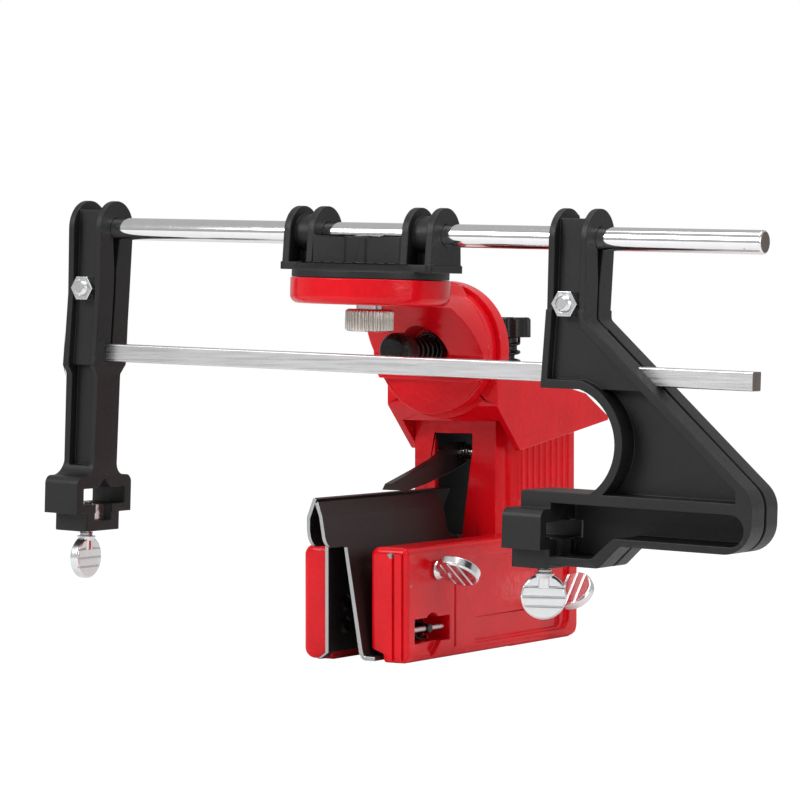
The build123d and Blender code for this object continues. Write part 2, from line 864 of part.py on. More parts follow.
def make_tilt_knob():
    knob = Cylinder(tilt_knob_r, tilt_knob_long)
    knob = fillet(knob.edges().filter_by(GeomType.CIRCLE).sort_by(Axis.Z)[:1], tilt_knob_round)
    collar_z = (tilt_knob_long + tilt_collar_long) / 2
    knob += Pos(0, 0, collar_z) * Cylinder(tilt_collar_r + tilt_wire / 2, tilt_collar_long)
    bore_start = tilt_bolt_in - air - tilt_knob_long / 2
    knob -= rod_along_z(0, 0, bore_start, tilt_knob_long, tilt_bolt_r + running)
    return Pos(head_x, tilt_knob_front + tilt_knob_long / 2, tilt_z) * Rot(-90, 0, 0) * knob


def make_tilt_cup():
    start = tilt_face - seat - cup_long
    cup = rod_along_y(head_x, start, tilt_face - seat, tilt_z, cup_r)
    cup -= rod_along_y(head_x, start - over, tilt_face - seat - cup_wall, tilt_z, cup_r - cup_wall)
    return cup - rod_along_y(head_x, start - over, tilt_face + over, tilt_z, tilt_bolt_r + running)


def make_tilt_spring():
    start = tilt_knob_front + tilt_knob_long + tilt_collar_long
    length = tilt_face - seat - cup_wall - start
    coil = spring(tilt_spring_r - tilt_wire / 2, tilt_wire, length, tilt_turns, "tilt_spring")
    return Pos(head_x, start, tilt_z) * Rot(-90, 0, 0) * coil


def ear_shape(x0, x1):
    "round-topped ear of the swivel table, spreading to its base"
    base = -table_flange_high - seat
    points = [(-ear_half_deep, 0), (-ear_base_half, base), (ear_base_half, base), (ear_half_deep, 0)]
    return slab_x(points, x0, x1) + rod_along_x(x0, x1, 0, 0, ear_half_deep)


def make_swivel_table():
    table = rod_along_z(0, 0, -table_ring_low, -table_flange_low, table_ring_r)
    flange = block(-table_half_long, table_half_long, -table_half_deep, table_half_deep,
                   -table_flange_low, -table_flange_high)
    table += fillet(flange.edges().filter_by(Axis.Z), table_wall_thick)
    for side in (-1, 1):
        for inner in (ear_outer, ear_inner):
            ends = sorted((side * inner, side * (inner + ear_thick)))
            table += ear_shape(ends[0], ends[1])
        ends = sorted((side * ear_inner, side * ear_outer))
        table += rod_along_x(ends[0], ends[1], 0, 0, ear_boss_r)
        table += block(ends[0], ends[1], -table_wall_thick, table_wall_thick, -table_flange_low, 0)
    for side in (-1, 1):
        wall = sorted((side * table_half_deep * 0.85, side * (table_half_deep * 0.85 - table_wall_thick)))
        table += block(-ear_inner, ear_inner, wall[0], wall[1], -table_flange_low, -table_wall_top)
    hub = rod_along_z(0, 0, -table_flange_low, -rod_r - 2 * seat, table_hub_r)
    table += hub
    bulge = slab_z([
        (-table_hub_half, -table_half_deep + table_wall_thick / 2),
        (table_hub_half, -table_half_deep + table_wall_thick / 2),
        (table_hub_half, 0),
        (-table_hub_half, 0),
    ], -table_flange_low, -table_wall_top - seat, table_wall_thick)
    table += bulge
    for step in range(-table_mark_side, table_mark_side + 1):
        x = step * table_mark_pitch
        long = table_mark_long if step else table_mark_long * 1.4
        table += block(x - table_mark_wide / 2, x + table_mark_wide / 2, -table_half_deep - seat,
                       -table_half_deep + long / 2, -table_flange_high - seat,
                       -table_flange_high + table_mark_high)
    table -= rod_along_x(-table_half_long - over, table_half_long + over, 0, 0, rod_r + running)
    table -= rod_along_z(0, 0, -table_ring_low - over, 0, swivel_stud_r)
    pocket_top = -rod_r - seat
    return table - rod_along_z(0, 0, pocket_top - swivel_head_high - seat, 0, swivel_head_r + seat)


def make_swivel_stud():
    top = -rod_r - 4 * seat
    stem = rod_along_z(0, 0, -swivel_stud_low, top, swivel_stud_r)
    head = rod_along_z(0, 0, top - swivel_head_high + 2 * seat, top, swivel_head_r)
    return chamfer((stem + head).edges().filter_by(GeomType.CIRCLE).sort_by(Axis.Z)[:1], swivel_stud_r / 5)


def make_swivel_washer():
    top = -platform_bottom - seat
    washer = rod_along_z(0, 0, top - washer_thick, top, washer_r)
    return washer - rod_along_z(0, 0, top - 2 * washer_thick, 0, swivel_stud_r)


def make_swivel_nut():
    top = -platform_bottom - 2 * seat - washer_thick
    nut = rod_along_z(0, 0, top - swivel_nut_high, top, swivel_nut_r)
    nut = chamfer(nut.edges().filter_by(GeomType.CIRCLE), 2 * knurl_r)
    for tooth in range(knurl_count):
        angle = 2 * pi * tooth / knurl_count
        nut -= rod_along_z(swivel_nut_r * cos(angle), swivel_nut_r * sin(angle),
                           top - swivel_nut_high - over, top + over, knurl_r)
    return nut - rod_along_z(0, 0, top - 2 * swivel_nut_high, top + over, swivel_stud_r + running)


def make_guide_rod():
    rod = rod_along_x(rod_left, rod_right, 0, 0, rod_r)
    return chamfer(rod.edges().filter_by(GeomType.CIRCLE), rod_chamfer)


def make_square_bar():
    half = bar_side / 2
    bar = block(bar_left, bar_right, -half, half, -bar_drop - half, -bar_drop + half)
    return chamfer(bar.edges().filter_by(Axis.X), bar_chamfer)


def leaning(x0, x1, low):
    "outline of a grip from the front as (X, Z) points, open upwards, down to a low drop"
    return [
        (x0, grip_top_r + over),
        (x1, grip_top_r + over),
        (x1 - grip_bend_lean, -grip_bend_drop),
        (x1 - grip_lean, -low),
        (x0 - grip_lean, -low),
        (x0 - grip_bend_lean, -grip_bend_drop),
    ]


def arm_grip(x0, x1):
    "the upper half of an arm: two side plates with a web between them"
    far_left = x0 - grip_lean - over
    side = slab_x([
        (-grip_top_r, 0),
        (-grip_waist_half, -grip_bend_drop),
        (-grip_low_half, -grip_drop),
        (grip_low_half, -grip_drop),
        (grip_waist_half, -grip_bend_drop),
        (grip_top_r, 0),
    ], far_left, x1 + over)
    side += rod_along_x(far_left, x1 + over, 0, 0, grip_top_r)
    return side & slab_y(leaning(x0, x1, grip_drop), -2 * grip_top_r, 2 * grip_top_r)


def grip_recess(x0, x1):
    "what is cut from a grip on both sides of its web and above the web"
    outline = leaning(x0 + arm_wall, x1 - arm_wall, grip_drop)
    cut = block(x0 + arm_wall, x1 - arm_wall, -2 * grip_top_r, 2 * grip_top_r, grip_web_top, 2 * grip_top_r)
    for face in (-1, 1):
        ends = sorted((face * grip_web_half, face * 2 * grip_top_r))
        cut += slab_y(outline, ends[0], ends[1])
    return cut


def grip_holes(x0, x1):
    "what passes through a grip: rod, bar, the split between them and the bolt"
    half = bar_side / 2 + bar_fit
    ends = (x0 - grip_lean - over, x1 + over)
    holes = rod_along_x(ends[0], ends[1], 0, 0, rod_r + running)
    holes += block(ends[0], ends[1], -half, half, -bar_drop - half, -bar_drop + half)
    holes += block(ends[0], ends[1], -split_wide / 2, split_wide / 2, -bar_drop, 0)
    holes += slab_x([
        (-split_mouth_half, 0),
        (split_mouth_half, 0),
        (split_wide / 2, -split_mouth_drop),
        (-split_wide / 2, -split_mouth_drop),
    ], ends[0], ends[1])
    return holes + rod_along_y(grip_middle(x0), -2 * grip_top_r, 2 * grip_top_r, -arm_bolt_drop,
                               arm_bolt_r + running)


def grip_middle(x0):
    "X of a grip's middle at the height of its bolt"
    return x0 + grip_wide / 2 - grip_bend_lean


def socket_block(x0, foot_left):
    "wide block with the file's slot and notch, over the foot with the trapped nut"
    outline = [(-socket_half, -socket_top), (-socket_half, -socket_low),
               (socket_half, -socket_low), (socket_half, -socket_top)]
    block_part = slab_x(outline, x0, x0 + socket_wide, [socket_round, seat, seat, socket_round])
    foot = block(foot_left, foot_left + foot_wide, -foot_half, foot_half, -foot_low, -socket_low + seat)
    return block_part + fillet(foot.edges().filter_by(Axis.Z), socket_round / 2)


def socket_holes(x0, screw_x):
    "slot, notch, nut slot and screw hole of a file socket"
    notch = slab_x([
        (-file_slot_half, -file_slot_low),
        (file_slot_half, -file_slot_low),
        (file_slot_half, -file_slot_top),
        (notch_half, -file_slot_top),
        (0, -notch_top),
        (-notch_half, -file_slot_top),
        (-file_slot_half, -file_slot_top),
    ], x0 - over, x0 + socket_wide + over)
    nut_slot = block(x0 - over, x0 + socket_wide + over, -nut_slot_half, nut_slot_half,
                     -nut_slot_low, -file_slot_low + seat)
    return notch + nut_slot + rod_along_z(screw_x, 0, -foot_low - over, -nut_slot_low + over,
                                          file_screw_r + running)


def make_left_arm():
    x0 = left_grip_left
    x1 = x0 + grip_wide
    socket_right = left_socket_left + socket_wide
    neck_top_left = x0 - grip_lean - neck_step_in
    neck_top_right = x1 - grip_lean - neck_step_in
    front = slab_y([
        (x0 - grip_lean, -grip_drop + over),
        (x1 - grip_lean, -grip_drop + over),
        (x1 - grip_lean, -grip_drop),
        (neck_top_right, -neck_top_drop),
        (neck_low_right, -socket_top + neck_cove),
        (socket_right, -socket_top),
        (socket_right, -socket_low),
        (left_socket_left, -socket_low),
        (left_socket_left, -socket_top),
        (neck_low_left, -socket_top + neck_cove),
        (neck_top_left, -neck_top_drop),
        (x0 - grip_lean, -grip_drop),
    ], -socket_half - over, socket_half + over)
    half = [
        (grip_low_half, -grip_drop + over),
        (grip_low_half, -grip_drop),
        (neck_half, -neck_top_drop),
        (neck_half, -socket_top),
        (socket_half - socket_round, -socket_top),
        (socket_half - socket_round, -socket_low),
    ]
    radii = [0, socket_round / 2, socket_round / 2, neck_cove, 0, 0]
    side = slab_x(half + [(-y, z) for y, z in reversed(half)], left_socket_left - over, x1 + over,
                  radii + radii[::-1])
    arm = arm_grip(x0, x1) + (front & side)
    arm += socket_block(left_socket_left, socket_right - foot_wide - neck_step_in)
    arm -= grip_recess(x0, x1)
    for face in (-1, 1):
        ends = sorted((face * neck_web_half, face * (socket_half + over)))
        arm -= slab_y([
            (x0 - grip_lean + arm_wall, -grip_drop + seat),
            (x1 - grip_lean - arm_wall, -grip_drop + seat),
            (neck_low_right - arm_wall, -neck_recess_drop),
            (neck_low_left + arm_wall, -neck_recess_drop),
        ], ends[0], ends[1])
    arm -= grip_holes(x0, x1)
    return arm - socket_holes(left_socket_left, left_screw_x)


def right_outline():
    "outline of the right arm below its grip, as (X, Z) points and their corner radii"
    x1 = right_grip_left + grip_wide
    middle = right_socket_left + socket_wide / 2
    shapes = [
        (right_grip_left - grip_lean, -grip_drop, 0),
        (right_grip_left - grip_bend_lean, -grip_bend_drop, 0),
        (x1 - grip_bend_lean, -grip_bend_drop, 0),
        (x1 - grip_bend_lean, -right_waist_drop, right_waist_round / 3),
        (right_end_x, -right_end_drop, right_end_round),
        (right_end_x, -right_belly_low, right_end_round),
        (right_belly_x, -right_belly_low, right_rim),
        (right_foot_x, -right_foot_low, right_rim),
        (middle, -right_foot_low, 0),
        (middle, -socket_top, 0),
        (beam_top_x, -socket_top, 0),
        (beam_top_x, -cutout_low, right_rim / 3),
        (right_grip_left, -cutout_low, 0),
    ]
    return [(x, z) for x, z, r in shapes], [r for x, z, r in shapes]


def d_cutout(grow=0.0):
    "the D-shaped window of the right arm, open at its left"
    round_part = rod_along_y(cutout_x, -2 * right_half, 2 * right_half, -cutout_drop, cutout_r + grow)
    left_x = right_grip_left - grip_lean - over
    left_part = block(left_x - grow, cutout_x, -2 * right_half, 2 * right_half,
                      -cutout_low - grow, -grip_drop + grow)
    band = block(left_x - over, cutout_x + 2 * cutout_r, -3 * right_half, 3 * right_half,
                 -cutout_low - grow, -grip_drop + grow)
    return (round_part + left_part) & band


def diagonal_inside(drop):
    "X of the inner edge of the diagonal's rim at a drop"
    x1 = right_grip_left + grip_wide - grip_bend_lean
    run = right_end_x - x1
    fall = right_end_drop - right_waist_drop
    across = right_rim * sqrt(run * run + fall * fall) / fall
    return x1 - across + (drop - right_waist_drop) * run / fall


def right_recesses():
    "outlines of the shallow recess on the grip's web and of the deep one below it"
    x0 = right_grip_left + arm_wall
    x1 = right_grip_left + grip_wide - arm_wall
    end_x = right_end_x - 2 * right_rim
    end_drop = right_end_drop - right_rim / 2
    shallow = [
        (x0 - grip_bend_lean, -grip_bend_drop),
        (x1 - grip_bend_lean, -grip_bend_drop),
        (diagonal_inside(right_waist_drop + right_rim), -right_waist_drop - right_rim),
        (diagonal_inside(grip_drop), -grip_drop),
        (x0 - grip_lean, -grip_drop),
    ]
    deep = [
        (x0, -grip_drop),
        (diagonal_inside(grip_drop), -grip_drop),
        (diagonal_inside(end_drop), -end_drop),
        (end_x, -cutout_low - seat),
        (x0, -cutout_low - seat),
    ]
    return (shallow, grip_web_half), (deep, right_web_half)


def make_right_arm():
    x0 = right_grip_left
    x1 = x0 + grip_wide
    points, radii = right_outline()
    lower = slab_y(points, -right_half, right_half, radii)
    edge = block(x1 + arm_wall, right_end_x + over, edge_groove_y - edge_groove_wide, edge_groove_y,
                 -right_foot_low, -right_waist_drop)
    inset = offset(face_of(points, radii), amount=-edge_groove_deep)
    edge -= Pos(0, right_half, 0) * extrude(Plane.XZ * inset, amount=2 * right_half)
    arm = arm_grip(x0, x1) + (lower - edge)
    arm += socket_block(right_socket_left, right_socket_left + neck_step_in)
    arm -= d_cutout()
    arm -= grip_recess(x0, x1) & block(x0 - 2 * grip_lean, x1, -right_end_x, right_end_x,
                                       -grip_bend_drop, right_end_x)
    keep = d_cutout(right_rim)
    for outline, web_half in right_recesses():
        for face in (-1, 1):
            ends = sorted((face * web_half, face * (right_half + over)))
            arm -= slab_y(outline, ends[0], ends[1]) - keep
    arm -= beam_slot()
    arm -= grip_holes(x0, right_end_x)
    return arm - socket_holes(right_socket_left, right_screw_x)


def beam_slot():
    "front-open pocket along the lower beam, where the file's tip runs"
    inner_x = right_socket_left + socket_wide
    return slab_y([
        (inner_x, -beam_slot_top),
        (beam_slot_end_x, -beam_slot_top),
        (beam_slot_end_x, -beam_slot_low),
        (beam_slot_knee_x, -beam_slot_low),
        (beam_slot_heel_x, -beam_slot_heel_low),
        (inner_x, -beam_slot_heel_low),
    ], -right_half - over, right_half - arm_wall,
        [seat, beam_slot_end_round, beam_slot_end_round, right_rim, right_rim, seat])


def arm_grips():
    return (
        ("left_arm", grip_middle(left_grip_left)),
        ("right_arm", grip_middle(right_grip_left)),
    )


def save_arm_fasteners():
    face = grip_web_half + seat
    for name, x in arm_grips():
        nut = hexagon_y(x, -face - arm_nut_high, -face, -arm_bolt_drop, arm_nut_af)
        nut -= rod_along_y(x, -2 * grip_top_r, 0, -arm_bolt_drop, arm_bolt_r)
        bolt = rod_along_y(x, -face - arm_nut_high - arm_bolt_out, face, -arm_bolt_drop, arm_bolt_r)
        head = rod_along_y(x, face, face + arm_head_high, -arm_bolt_drop, arm_head_r)
        head = fillet(head.edges().filter_by(GeomType.CIRCLE).sort_by(Axis.Y)[-1:], arm_head_round)
        save(name + "_bolt", HEAD * (bolt + head))
        save(name + "_nut", HEAD * nut)


def file_screws():
    return (
        ("left_file", left_screw_x, left_disc_turn_deg),
        ("right_file", right_screw_x, right_disc_turn_deg),
    )


def save_file_screws():
    centre = neck_long + disc_r - neck_gap
    neck_top = -file_disc_drop + centre
    reach = -file_screw_top - neck_top
    for name, x, turn in file_screws():
        place = HEAD * Pos(x, 0, neck_top) * Rot(180, 0, 0)
        save(name + "_wing", place * disc_head(turn))
        save(name + "_shank", place * shank(file_screw_r, reach))
        nut = block(x - file_nut_half, x + file_nut_half, -file_nut_half, file_nut_half,
                    -nut_slot_low + seat, -nut_slot_low + seat + file_nut_high)
        nut -= rod_along_z(x, 0, -foot_low, -file_slot_top, file_screw_r + running)
        save(name + "_nut", HEAD * nut)


def make_pawl():
    reach_shares = [1.0, 0.96, 0.61, 0.34, 0.06, -0.1, -0.1, 0.13, 0.47, 0.74]
    drop_shares = [1.0, 0.82, 0.46, 0.16, -0.3, -0.3, 0.34, 0.62, 0.9, 1.07]
    points = []
    for along, down in zip(reach_shares, drop_shares):
        points.append((pawl_pin_y - along * pawl_reach, pawl_pin_z - down * pawl_nose_drop))
    pawl = slab_x(points, pawl_left, pawl_left + pawl_thick)
    return pawl - rod_along_x(-over, pawl_left + pawl_thick + over, pawl_pin_y, pawl_pin_z,
                              pawl_pin_r + running)


def make_pawl_pin():
    return rod_along_x(window_left - pawl_pin_sink + seat, window_top_right + pawl_pin_sink - seat,
                       pawl_pin_y, pawl_pin_z, pawl_pin_r)


def make_pawl_spring():
    coil = spring(pawl_spring_r, pawl_wire, pawl_spring_long, pawl_turns, "pawl_spring")
    start = pawl_left + pawl_thick + seat
    return Pos(start, pawl_pin_y, pawl_pin_z) * Rot(0, 90, 0) * coil


def main():
    os.makedirs("parts", exist_ok=True)
    save("clamp_body", make_clamp_body())
    save("fixed_plate", make_fixed_plate())
    save("plate_rivets", make_plate_rivets())
    save("moving_plate", make_moving_plate())
    save("plate_stud", make_plate_stud())
    save("plate_stud_pin", make_plate_stud_pin())
    save("plate_return_spring", make_return_spring())
    save_clamp_screws()
    save("elevator_head", make_elevator_head())
    save("height_knob", make_height_knob())
    save("height_screw", make_height_screw())
    save("height_spring", make_height_spring())
    save("tilt_bolt", make_tilt_bolt())
    save("tilt_knob", make_tilt_knob())
    save("tilt_cup", make_tilt_cup())
    save("tilt_spring", make_tilt_spring())
    save("pawl", make_pawl())
    save("pawl_pin", make_pawl_pin())
    save("pawl_spring", make_pawl_spring())
    save("tilt_head", HEAD * make_tilt_head())
    save("swivel_table", HEAD * make_swivel_table())
    save("swivel_stud", HEAD * make_swivel_stud())
    save("swivel_washer", HEAD * make_swivel_washer())
    save("swivel_nut", HEAD * make_swivel_nut())
    save("guide_rod", HEAD * make_guide_rod())
    save("square_bar", HEAD * make_square_bar())
    save("left_arm", HEAD * make_left_arm())
    save("right_arm", HEAD * make_right_arm())
    save_arm_fasteners()
    save_file_screws()


if __name__ == "__main__":
    main()
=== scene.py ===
"""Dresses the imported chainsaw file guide: rounded castings, moulded arms, plated screws and a plain stage."""

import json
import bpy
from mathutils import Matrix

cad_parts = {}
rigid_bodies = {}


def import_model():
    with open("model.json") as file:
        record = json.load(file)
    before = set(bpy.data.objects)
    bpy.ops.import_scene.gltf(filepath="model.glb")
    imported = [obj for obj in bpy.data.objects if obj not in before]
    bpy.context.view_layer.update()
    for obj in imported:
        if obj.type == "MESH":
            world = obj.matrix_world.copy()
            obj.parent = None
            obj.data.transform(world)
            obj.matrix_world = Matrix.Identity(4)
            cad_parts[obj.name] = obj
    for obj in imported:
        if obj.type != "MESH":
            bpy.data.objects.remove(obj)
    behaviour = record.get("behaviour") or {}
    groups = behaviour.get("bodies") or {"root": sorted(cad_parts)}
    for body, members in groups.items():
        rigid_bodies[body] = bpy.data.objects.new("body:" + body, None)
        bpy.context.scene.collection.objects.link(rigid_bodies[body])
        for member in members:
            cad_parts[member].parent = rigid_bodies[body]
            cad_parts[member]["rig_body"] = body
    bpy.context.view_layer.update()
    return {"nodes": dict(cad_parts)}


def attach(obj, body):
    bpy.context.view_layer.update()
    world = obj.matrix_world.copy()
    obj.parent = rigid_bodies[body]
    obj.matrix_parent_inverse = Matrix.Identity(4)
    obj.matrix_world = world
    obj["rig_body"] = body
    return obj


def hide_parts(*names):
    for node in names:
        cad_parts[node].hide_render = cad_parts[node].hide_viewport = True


bl_info = {
    "name": "Bar-mount file guide",
    "version": (1, 0, 0),
    "blender": (4, 5, 0),
    "location": "View3D > Sidebar > File guide",
    "description": "Builds the finished pieces and the stage of a chainsaw file guide",
    "category": "Add Mesh",
}

from math import radians

import bmesh
import bpy
from bpy.props import FloatProperty, FloatVectorProperty, PointerProperty
from bpy.types import Operator, Panel, PropertyGroup
from mathutils import Matrix, Vector
from mathutils.bvhtree import BVHTree

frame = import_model()

MM = 0.001

# CAD meshes: weld distances in metres, the angle from which an edge is rounded, and the share of
# a rounding's width by which a point may leave the CAD surface
WELD = 2e-6
SLIVER = 1e-6
BEVEL_DEG = 32.0
TAME_SHARE = 0.45

# Frame of the tilting head, with its origin on the guide rod's axis, in millimetres
TILT_PIVOT = (7.5, 0.0, 107.7)
HEAD_TIP_DEG = 1.8
PIVOT_TO_ROD = (0.0, 10.4, 40.8)
HEAD = (
    Matrix.Translation(Vector(TILT_PIVOT) * MM)
    @ Matrix.Rotation(radians(HEAD_TIP_DEG), 4, "Y")
    @ Matrix.Translation(Vector(PIVOT_TO_ROD) * MM)
)

# In that frame, in millimetres: left ends, width and lean of the arms' grips, the drop of their
# bolts, and the file screws
GRIP_LEFTS = (("left_arm", -124.4), ("right_arm", 76.2))
GRIP_WIDE = 14.5
GRIP_LEAN = 0.5
BOLT_DROP = 22.0
FILE_SCREWS = (("left", -120.9), ("right", 72.5))

# Turned pieces: sides of a round, and where along its pitch a thread's flank tops out, its crest
# ends and its root starts
TURNED_SIDES = 40
THREAD_SHARES = (0.38, 0.5, 0.88)

# The tower's window with the slot under it, behind the tower's front face, in millimetres; its inner walls get
# a near-black painted shade
WINDOW_X = (-3.5, 14.6)
WINDOW_FRONT = 76.0
WINDOW_Z = (6.0, 77.5)

# Chips in the clamp's paint: place and radius in metres
PAINT_CHIPS = (((0.0230, 0.0002, 0.0372), 0.0011), ((0.0294, 0.0030, 0.0268), 0.0005))

# Colour of the dull spots on bright metal
METAL_DIRT = (0.18, 0.15, 0.12)

# Light levels of the stage
FLOOR_GLOW = 1.13
FLOOR_GLOW_SHARE = 0.86
WORLD_FILL = 0.36
WORLD_GLOSS = 0.25

# Camera of the photograph, in millimetres
CAMERA_PLACE = (617.9, -964.8, 118.5)
CAMERA_LOOK = (-0.5223, 0.8524, -0.0243)
CAMERA_LENS = 148.1


class GuideFinishes(PropertyGroup):
    """Colours of the guide's finishes."""

    paint: FloatVectorProperty(
        name="Paint", description="Gloss paint of the castings", subtype="COLOR",
        size=3, min=0.0, max=1.0, default=(0.74, 0.003, 0.010))
    moulding: FloatVectorProperty(
        name="Moulding", description="Black nylon of the arms and the table", subtype="COLOR",
        size=3, min=0.0, max=1.0, default=(0.0085, 0.0088, 0.0092))
    plate: FloatVectorProperty(
        name="Plates", description="Blackened steel of the jaw plates", subtype="COLOR",
        size=3, min=0.0, max=1.0, default=(0.020, 0.0145, 0.0150))
    chrome: FloatVectorProperty(
        name="Chrome", description="Chromed guide rod", subtype="COLOR",
        size=3, min=0.0, max=1.0, default=(0.80, 0.80, 0.81))
    steel: FloatVectorProperty(
        name="Drawn steel", description="Bright drawn square bar", subtype="COLOR",
        size=3, min=0.0, max=1.0, default=(0.66, 0.66, 0.67))
    zinc: FloatVectorProperty(
        name="Zinc", description="Bright zinc of the thumb screws and nuts", subtype="COLOR",
        size=3, min=0.0, max=1.0, default=(0.78, 0.79, 0.80))
    nickel: FloatVectorProperty(
        name="Nickel", description="Nickel of the knurled nut", subtype="COLOR",
        size=3, min=0.0, max=1.0, default=(0.66, 0.61, 0.56))


class GuideSizes(PropertyGroup):
    """Edge roundings of the guide's pieces."""

    casting_round: FloatProperty(
        name="Casting edges", description="Rounding of the painted castings' edges",
        subtype="DISTANCE", unit="LENGTH", min=0.0, default=0.38 * MM)
    moulding_round: FloatProperty(
        name="Moulded edges", description="Rounding of the nylon pieces' edges",
        subtype="DISTANCE", unit="LENGTH", min=0.0, default=0.32 * MM)
    pressed_round: FloatProperty(
        name="Pressed edges", description="Rounding of the sheet steel's edges",
        subtype="DISTANCE", unit="LENGTH", min=0.0, default=0.2 * MM)
    turned_round: FloatProperty(
        name="Turned edges", description="Rounding of the screws' and nuts' edges",
        subtype="DISTANCE", unit="LENGTH", min=0.0, default=0.22 * MM)


# Node tree helpers


def put(tree, kind, sockets=None, **settings):
    "adds a shader node, with its settings and the values or links of its sockets"
    made = tree.nodes.new("ShaderNode" + kind)
    for name, value in settings.items():
        setattr(made, name, value)
    for name, value in (sockets or {}).items():
        if isinstance(value, bpy.types.NodeSocket):
            tree.links.new(value, made.inputs[name])
        else:
            made.inputs[name].default_value = value
    return made


def mixed(tree, share, first, second):
    "a colour between two, by a share"
    made = put(tree, "Mix", {0: share}, data_type="RGBA")
    for place, value in ((6, first), (7, second)):
        if isinstance(value, bpy.types.NodeSocket):
            tree.links.new(value, made.inputs[place])
        else:
            made.inputs[place].default_value = (*value[:3], 1.0)
    return made.outputs[2]


def ranged(tree, value, low, high, to_low, to_high):
    "a value moved from one range to another, and kept inside it"
    sockets = {"Value": value, "From Min": low, "From Max": high, "To Min": to_low, "To Max": to_high}
    return put(tree, "MapRange", sockets).outputs["Result"]


def sums(tree, operation, first, second):
    "one step of arithmetic on two values"
    return put(tree, "Math", {0: first, 1: second}, operation=operation).outputs["Value"]


def bumped(tree, height, distance, normal=None):
    "a normal that leans with a height, over a depth in metres"
    sockets = {"Height": height, "Distance": distance, "Strength": 1.0}
    if normal is not None:
        sockets["Normal"] = normal
    return put(tree, "Bump", sockets).outputs["Normal"]


def shaded(colour, factor):
    "a colour made darker or lighter"
    return [min(1.0, c * factor) for c in colour]


def new_group(name, inputs, outputs):
    "an empty node group, the sockets it is given and the sockets of its result"
    group = bpy.data.node_groups.new(name, "ShaderNodeTree")
    for label, kind, default in inputs:
        socket = group.interface.new_socket(label, in_out="INPUT", socket_type="NodeSocket" + kind)
        if default is not None:
            socket.default_value = default
    for label in outputs:
        group.interface.new_socket(label, in_out="OUTPUT", socket_type="NodeSocketFloat")
    return group, group.nodes.new("NodeGroupInput").outputs, group.nodes.new("NodeGroupOutput").inputs


def make_grain_group():
    "uneven surface at two scales, as a height and as a tone"
    group, given, result = new_group(
        "Surface grain", [("Vector", "Vector", None), ("Scale", "Float", 400.0), ("Fine", "Float", 4.0)],
        ["Height", "Tone"])
    coarse = put(group, "TexNoise", {"Vector": given["Vector"], "Scale": given["Scale"], "Detail": 3.0})
    finer = sums(group, "MULTIPLY", given["Scale"], given["Fine"])
    fine = put(group, "TexNoise", {"Vector": given["Vector"], "Scale": finer, "Detail": 2.0})
    height = sums(group, "ADD", coarse.outputs["Fac"], sums(group, "MULTIPLY", fine.outputs["Fac"], 0.5))
    group.links.new(height, result["Height"])
    group.links.new(ranged(group, coarse.outputs["Fac"], 0.3, 0.7, 0.0, 1.0), result["Tone"])
    return group


def make_edge_wear_and_highlight_group():
    """patches along the outer edges: rubbed wear on the nylon, a painted edge highlight on the paint"""
    group, given, result = new_group(
        "Worn and highlit edges",
        [("Vector", "Vector", None), ("Reach", "Float", 0.04), ("Patches", "Float", 150.0),
         ("Cover", "Float", 0.5)],
        ["Mask"])
    outer = put(group, "NewGeometry").outputs["Pointiness"]
    start = sums(group, "ADD", 0.5, given["Reach"])
    stop = sums(group, "ADD", start, given["Reach"])
    edge = ranged(group, outer, start, stop, 0.0, 1.0)
    patch = put(group, "TexNoise", {"Vector": given["Vector"], "Scale": given["Patches"], "Detail": 5.0})
    low = sums(group, "SUBTRACT", 0.8, sums(group, "MULTIPLY", given["Cover"], 0.5))
    high = sums(group, "ADD", low, 0.06)
    kept = ranged(group, patch.outputs["Fac"], low, high, 0.0, 1.0)
    group.links.new(sums(group, "MULTIPLY", edge, kept), result["Mask"])
    return group


def make_speck_group():
    "small scattered specks or pits"
    group, given, result = new_group(
        "Scattered specks",
        [("Vector", "Vector", None), ("Scale", "Float", 300.0), ("Size", "Float", 0.12),
         ("Share", "Float", 0.5)],
        ["Mask"])
    cells = put(group, "TexVoronoi", {"Vector": given["Vector"], "Scale": given["Scale"]})
    core = sums(group, "MULTIPLY", given["Size"], 0.5)
    dot = ranged(group, cells.outputs["Distance"], given["Size"], core, 0.0, 1.0)
    tone = put(group, "SeparateColor", {"Color": cells.outputs["Color"]}).outputs["Red"]
    chosen = sums(group, "LESS_THAN", tone, given["Share"])
    group.links.new(sums(group, "MULTIPLY", dot, chosen), result["Mask"])
    return group


def make_line_group():
    "fine lines drawn along one direction, from a vector squeezed along it"
    group, given, result = new_group(
        "Drawn lines",
        [("Vector", "Vector", None), ("Along", "Vector", (0.02, 1.0, 1.0)), ("Scale", "Float", 1500.0)],
        ["Height", "Tone"])
    squeezed = put(group, "VectorMath", {0: given["Vector"], 1: given["Along"]}, operation="MULTIPLY")
    lines = put(group, "TexNoise", {
        "Vector": squeezed.outputs["Vector"], "Scale": given["Scale"], "Detail": 4.0, "Roughness": 0.7})
    group.links.new(lines.outputs["Fac"], result["Height"])
    group.links.new(ranged(group, lines.outputs["Fac"], 0.35, 0.65, 0.0, 1.0), result["Tone"])
    return group


def make_dust_group():
    "light settling on faces that look up, in soft patches"
    group, given, result = new_group(
        "Settled dust",
        [("Vector", "Vector", None), ("Scale", "Float", 120.0), ("Amount", "Float", 0.3)],
        ["Mask"])
    up = put(group, "SeparateXYZ", {0: put(group, "NewGeometry").outputs["Normal"]}).outputs["Z"]
    facing = ranged(group, up, 0.2, 1.0, 0.0, 1.0)
    patch = put(group, "TexNoise", {
        "Vector": given["Vector"], "Scale": given["Scale"], "Detail": 6.0, "Roughness": 0.7})
    soft = ranged(group, patch.outputs["Fac"], 0.4, 0.75, 0.0, 1.0)
    both = sums(group, "MULTIPLY", facing, soft)
    group.links.new(sums(group, "MULTIPLY", both, given["Amount"]), result["Mask"])
    return group


GROUPS = {}


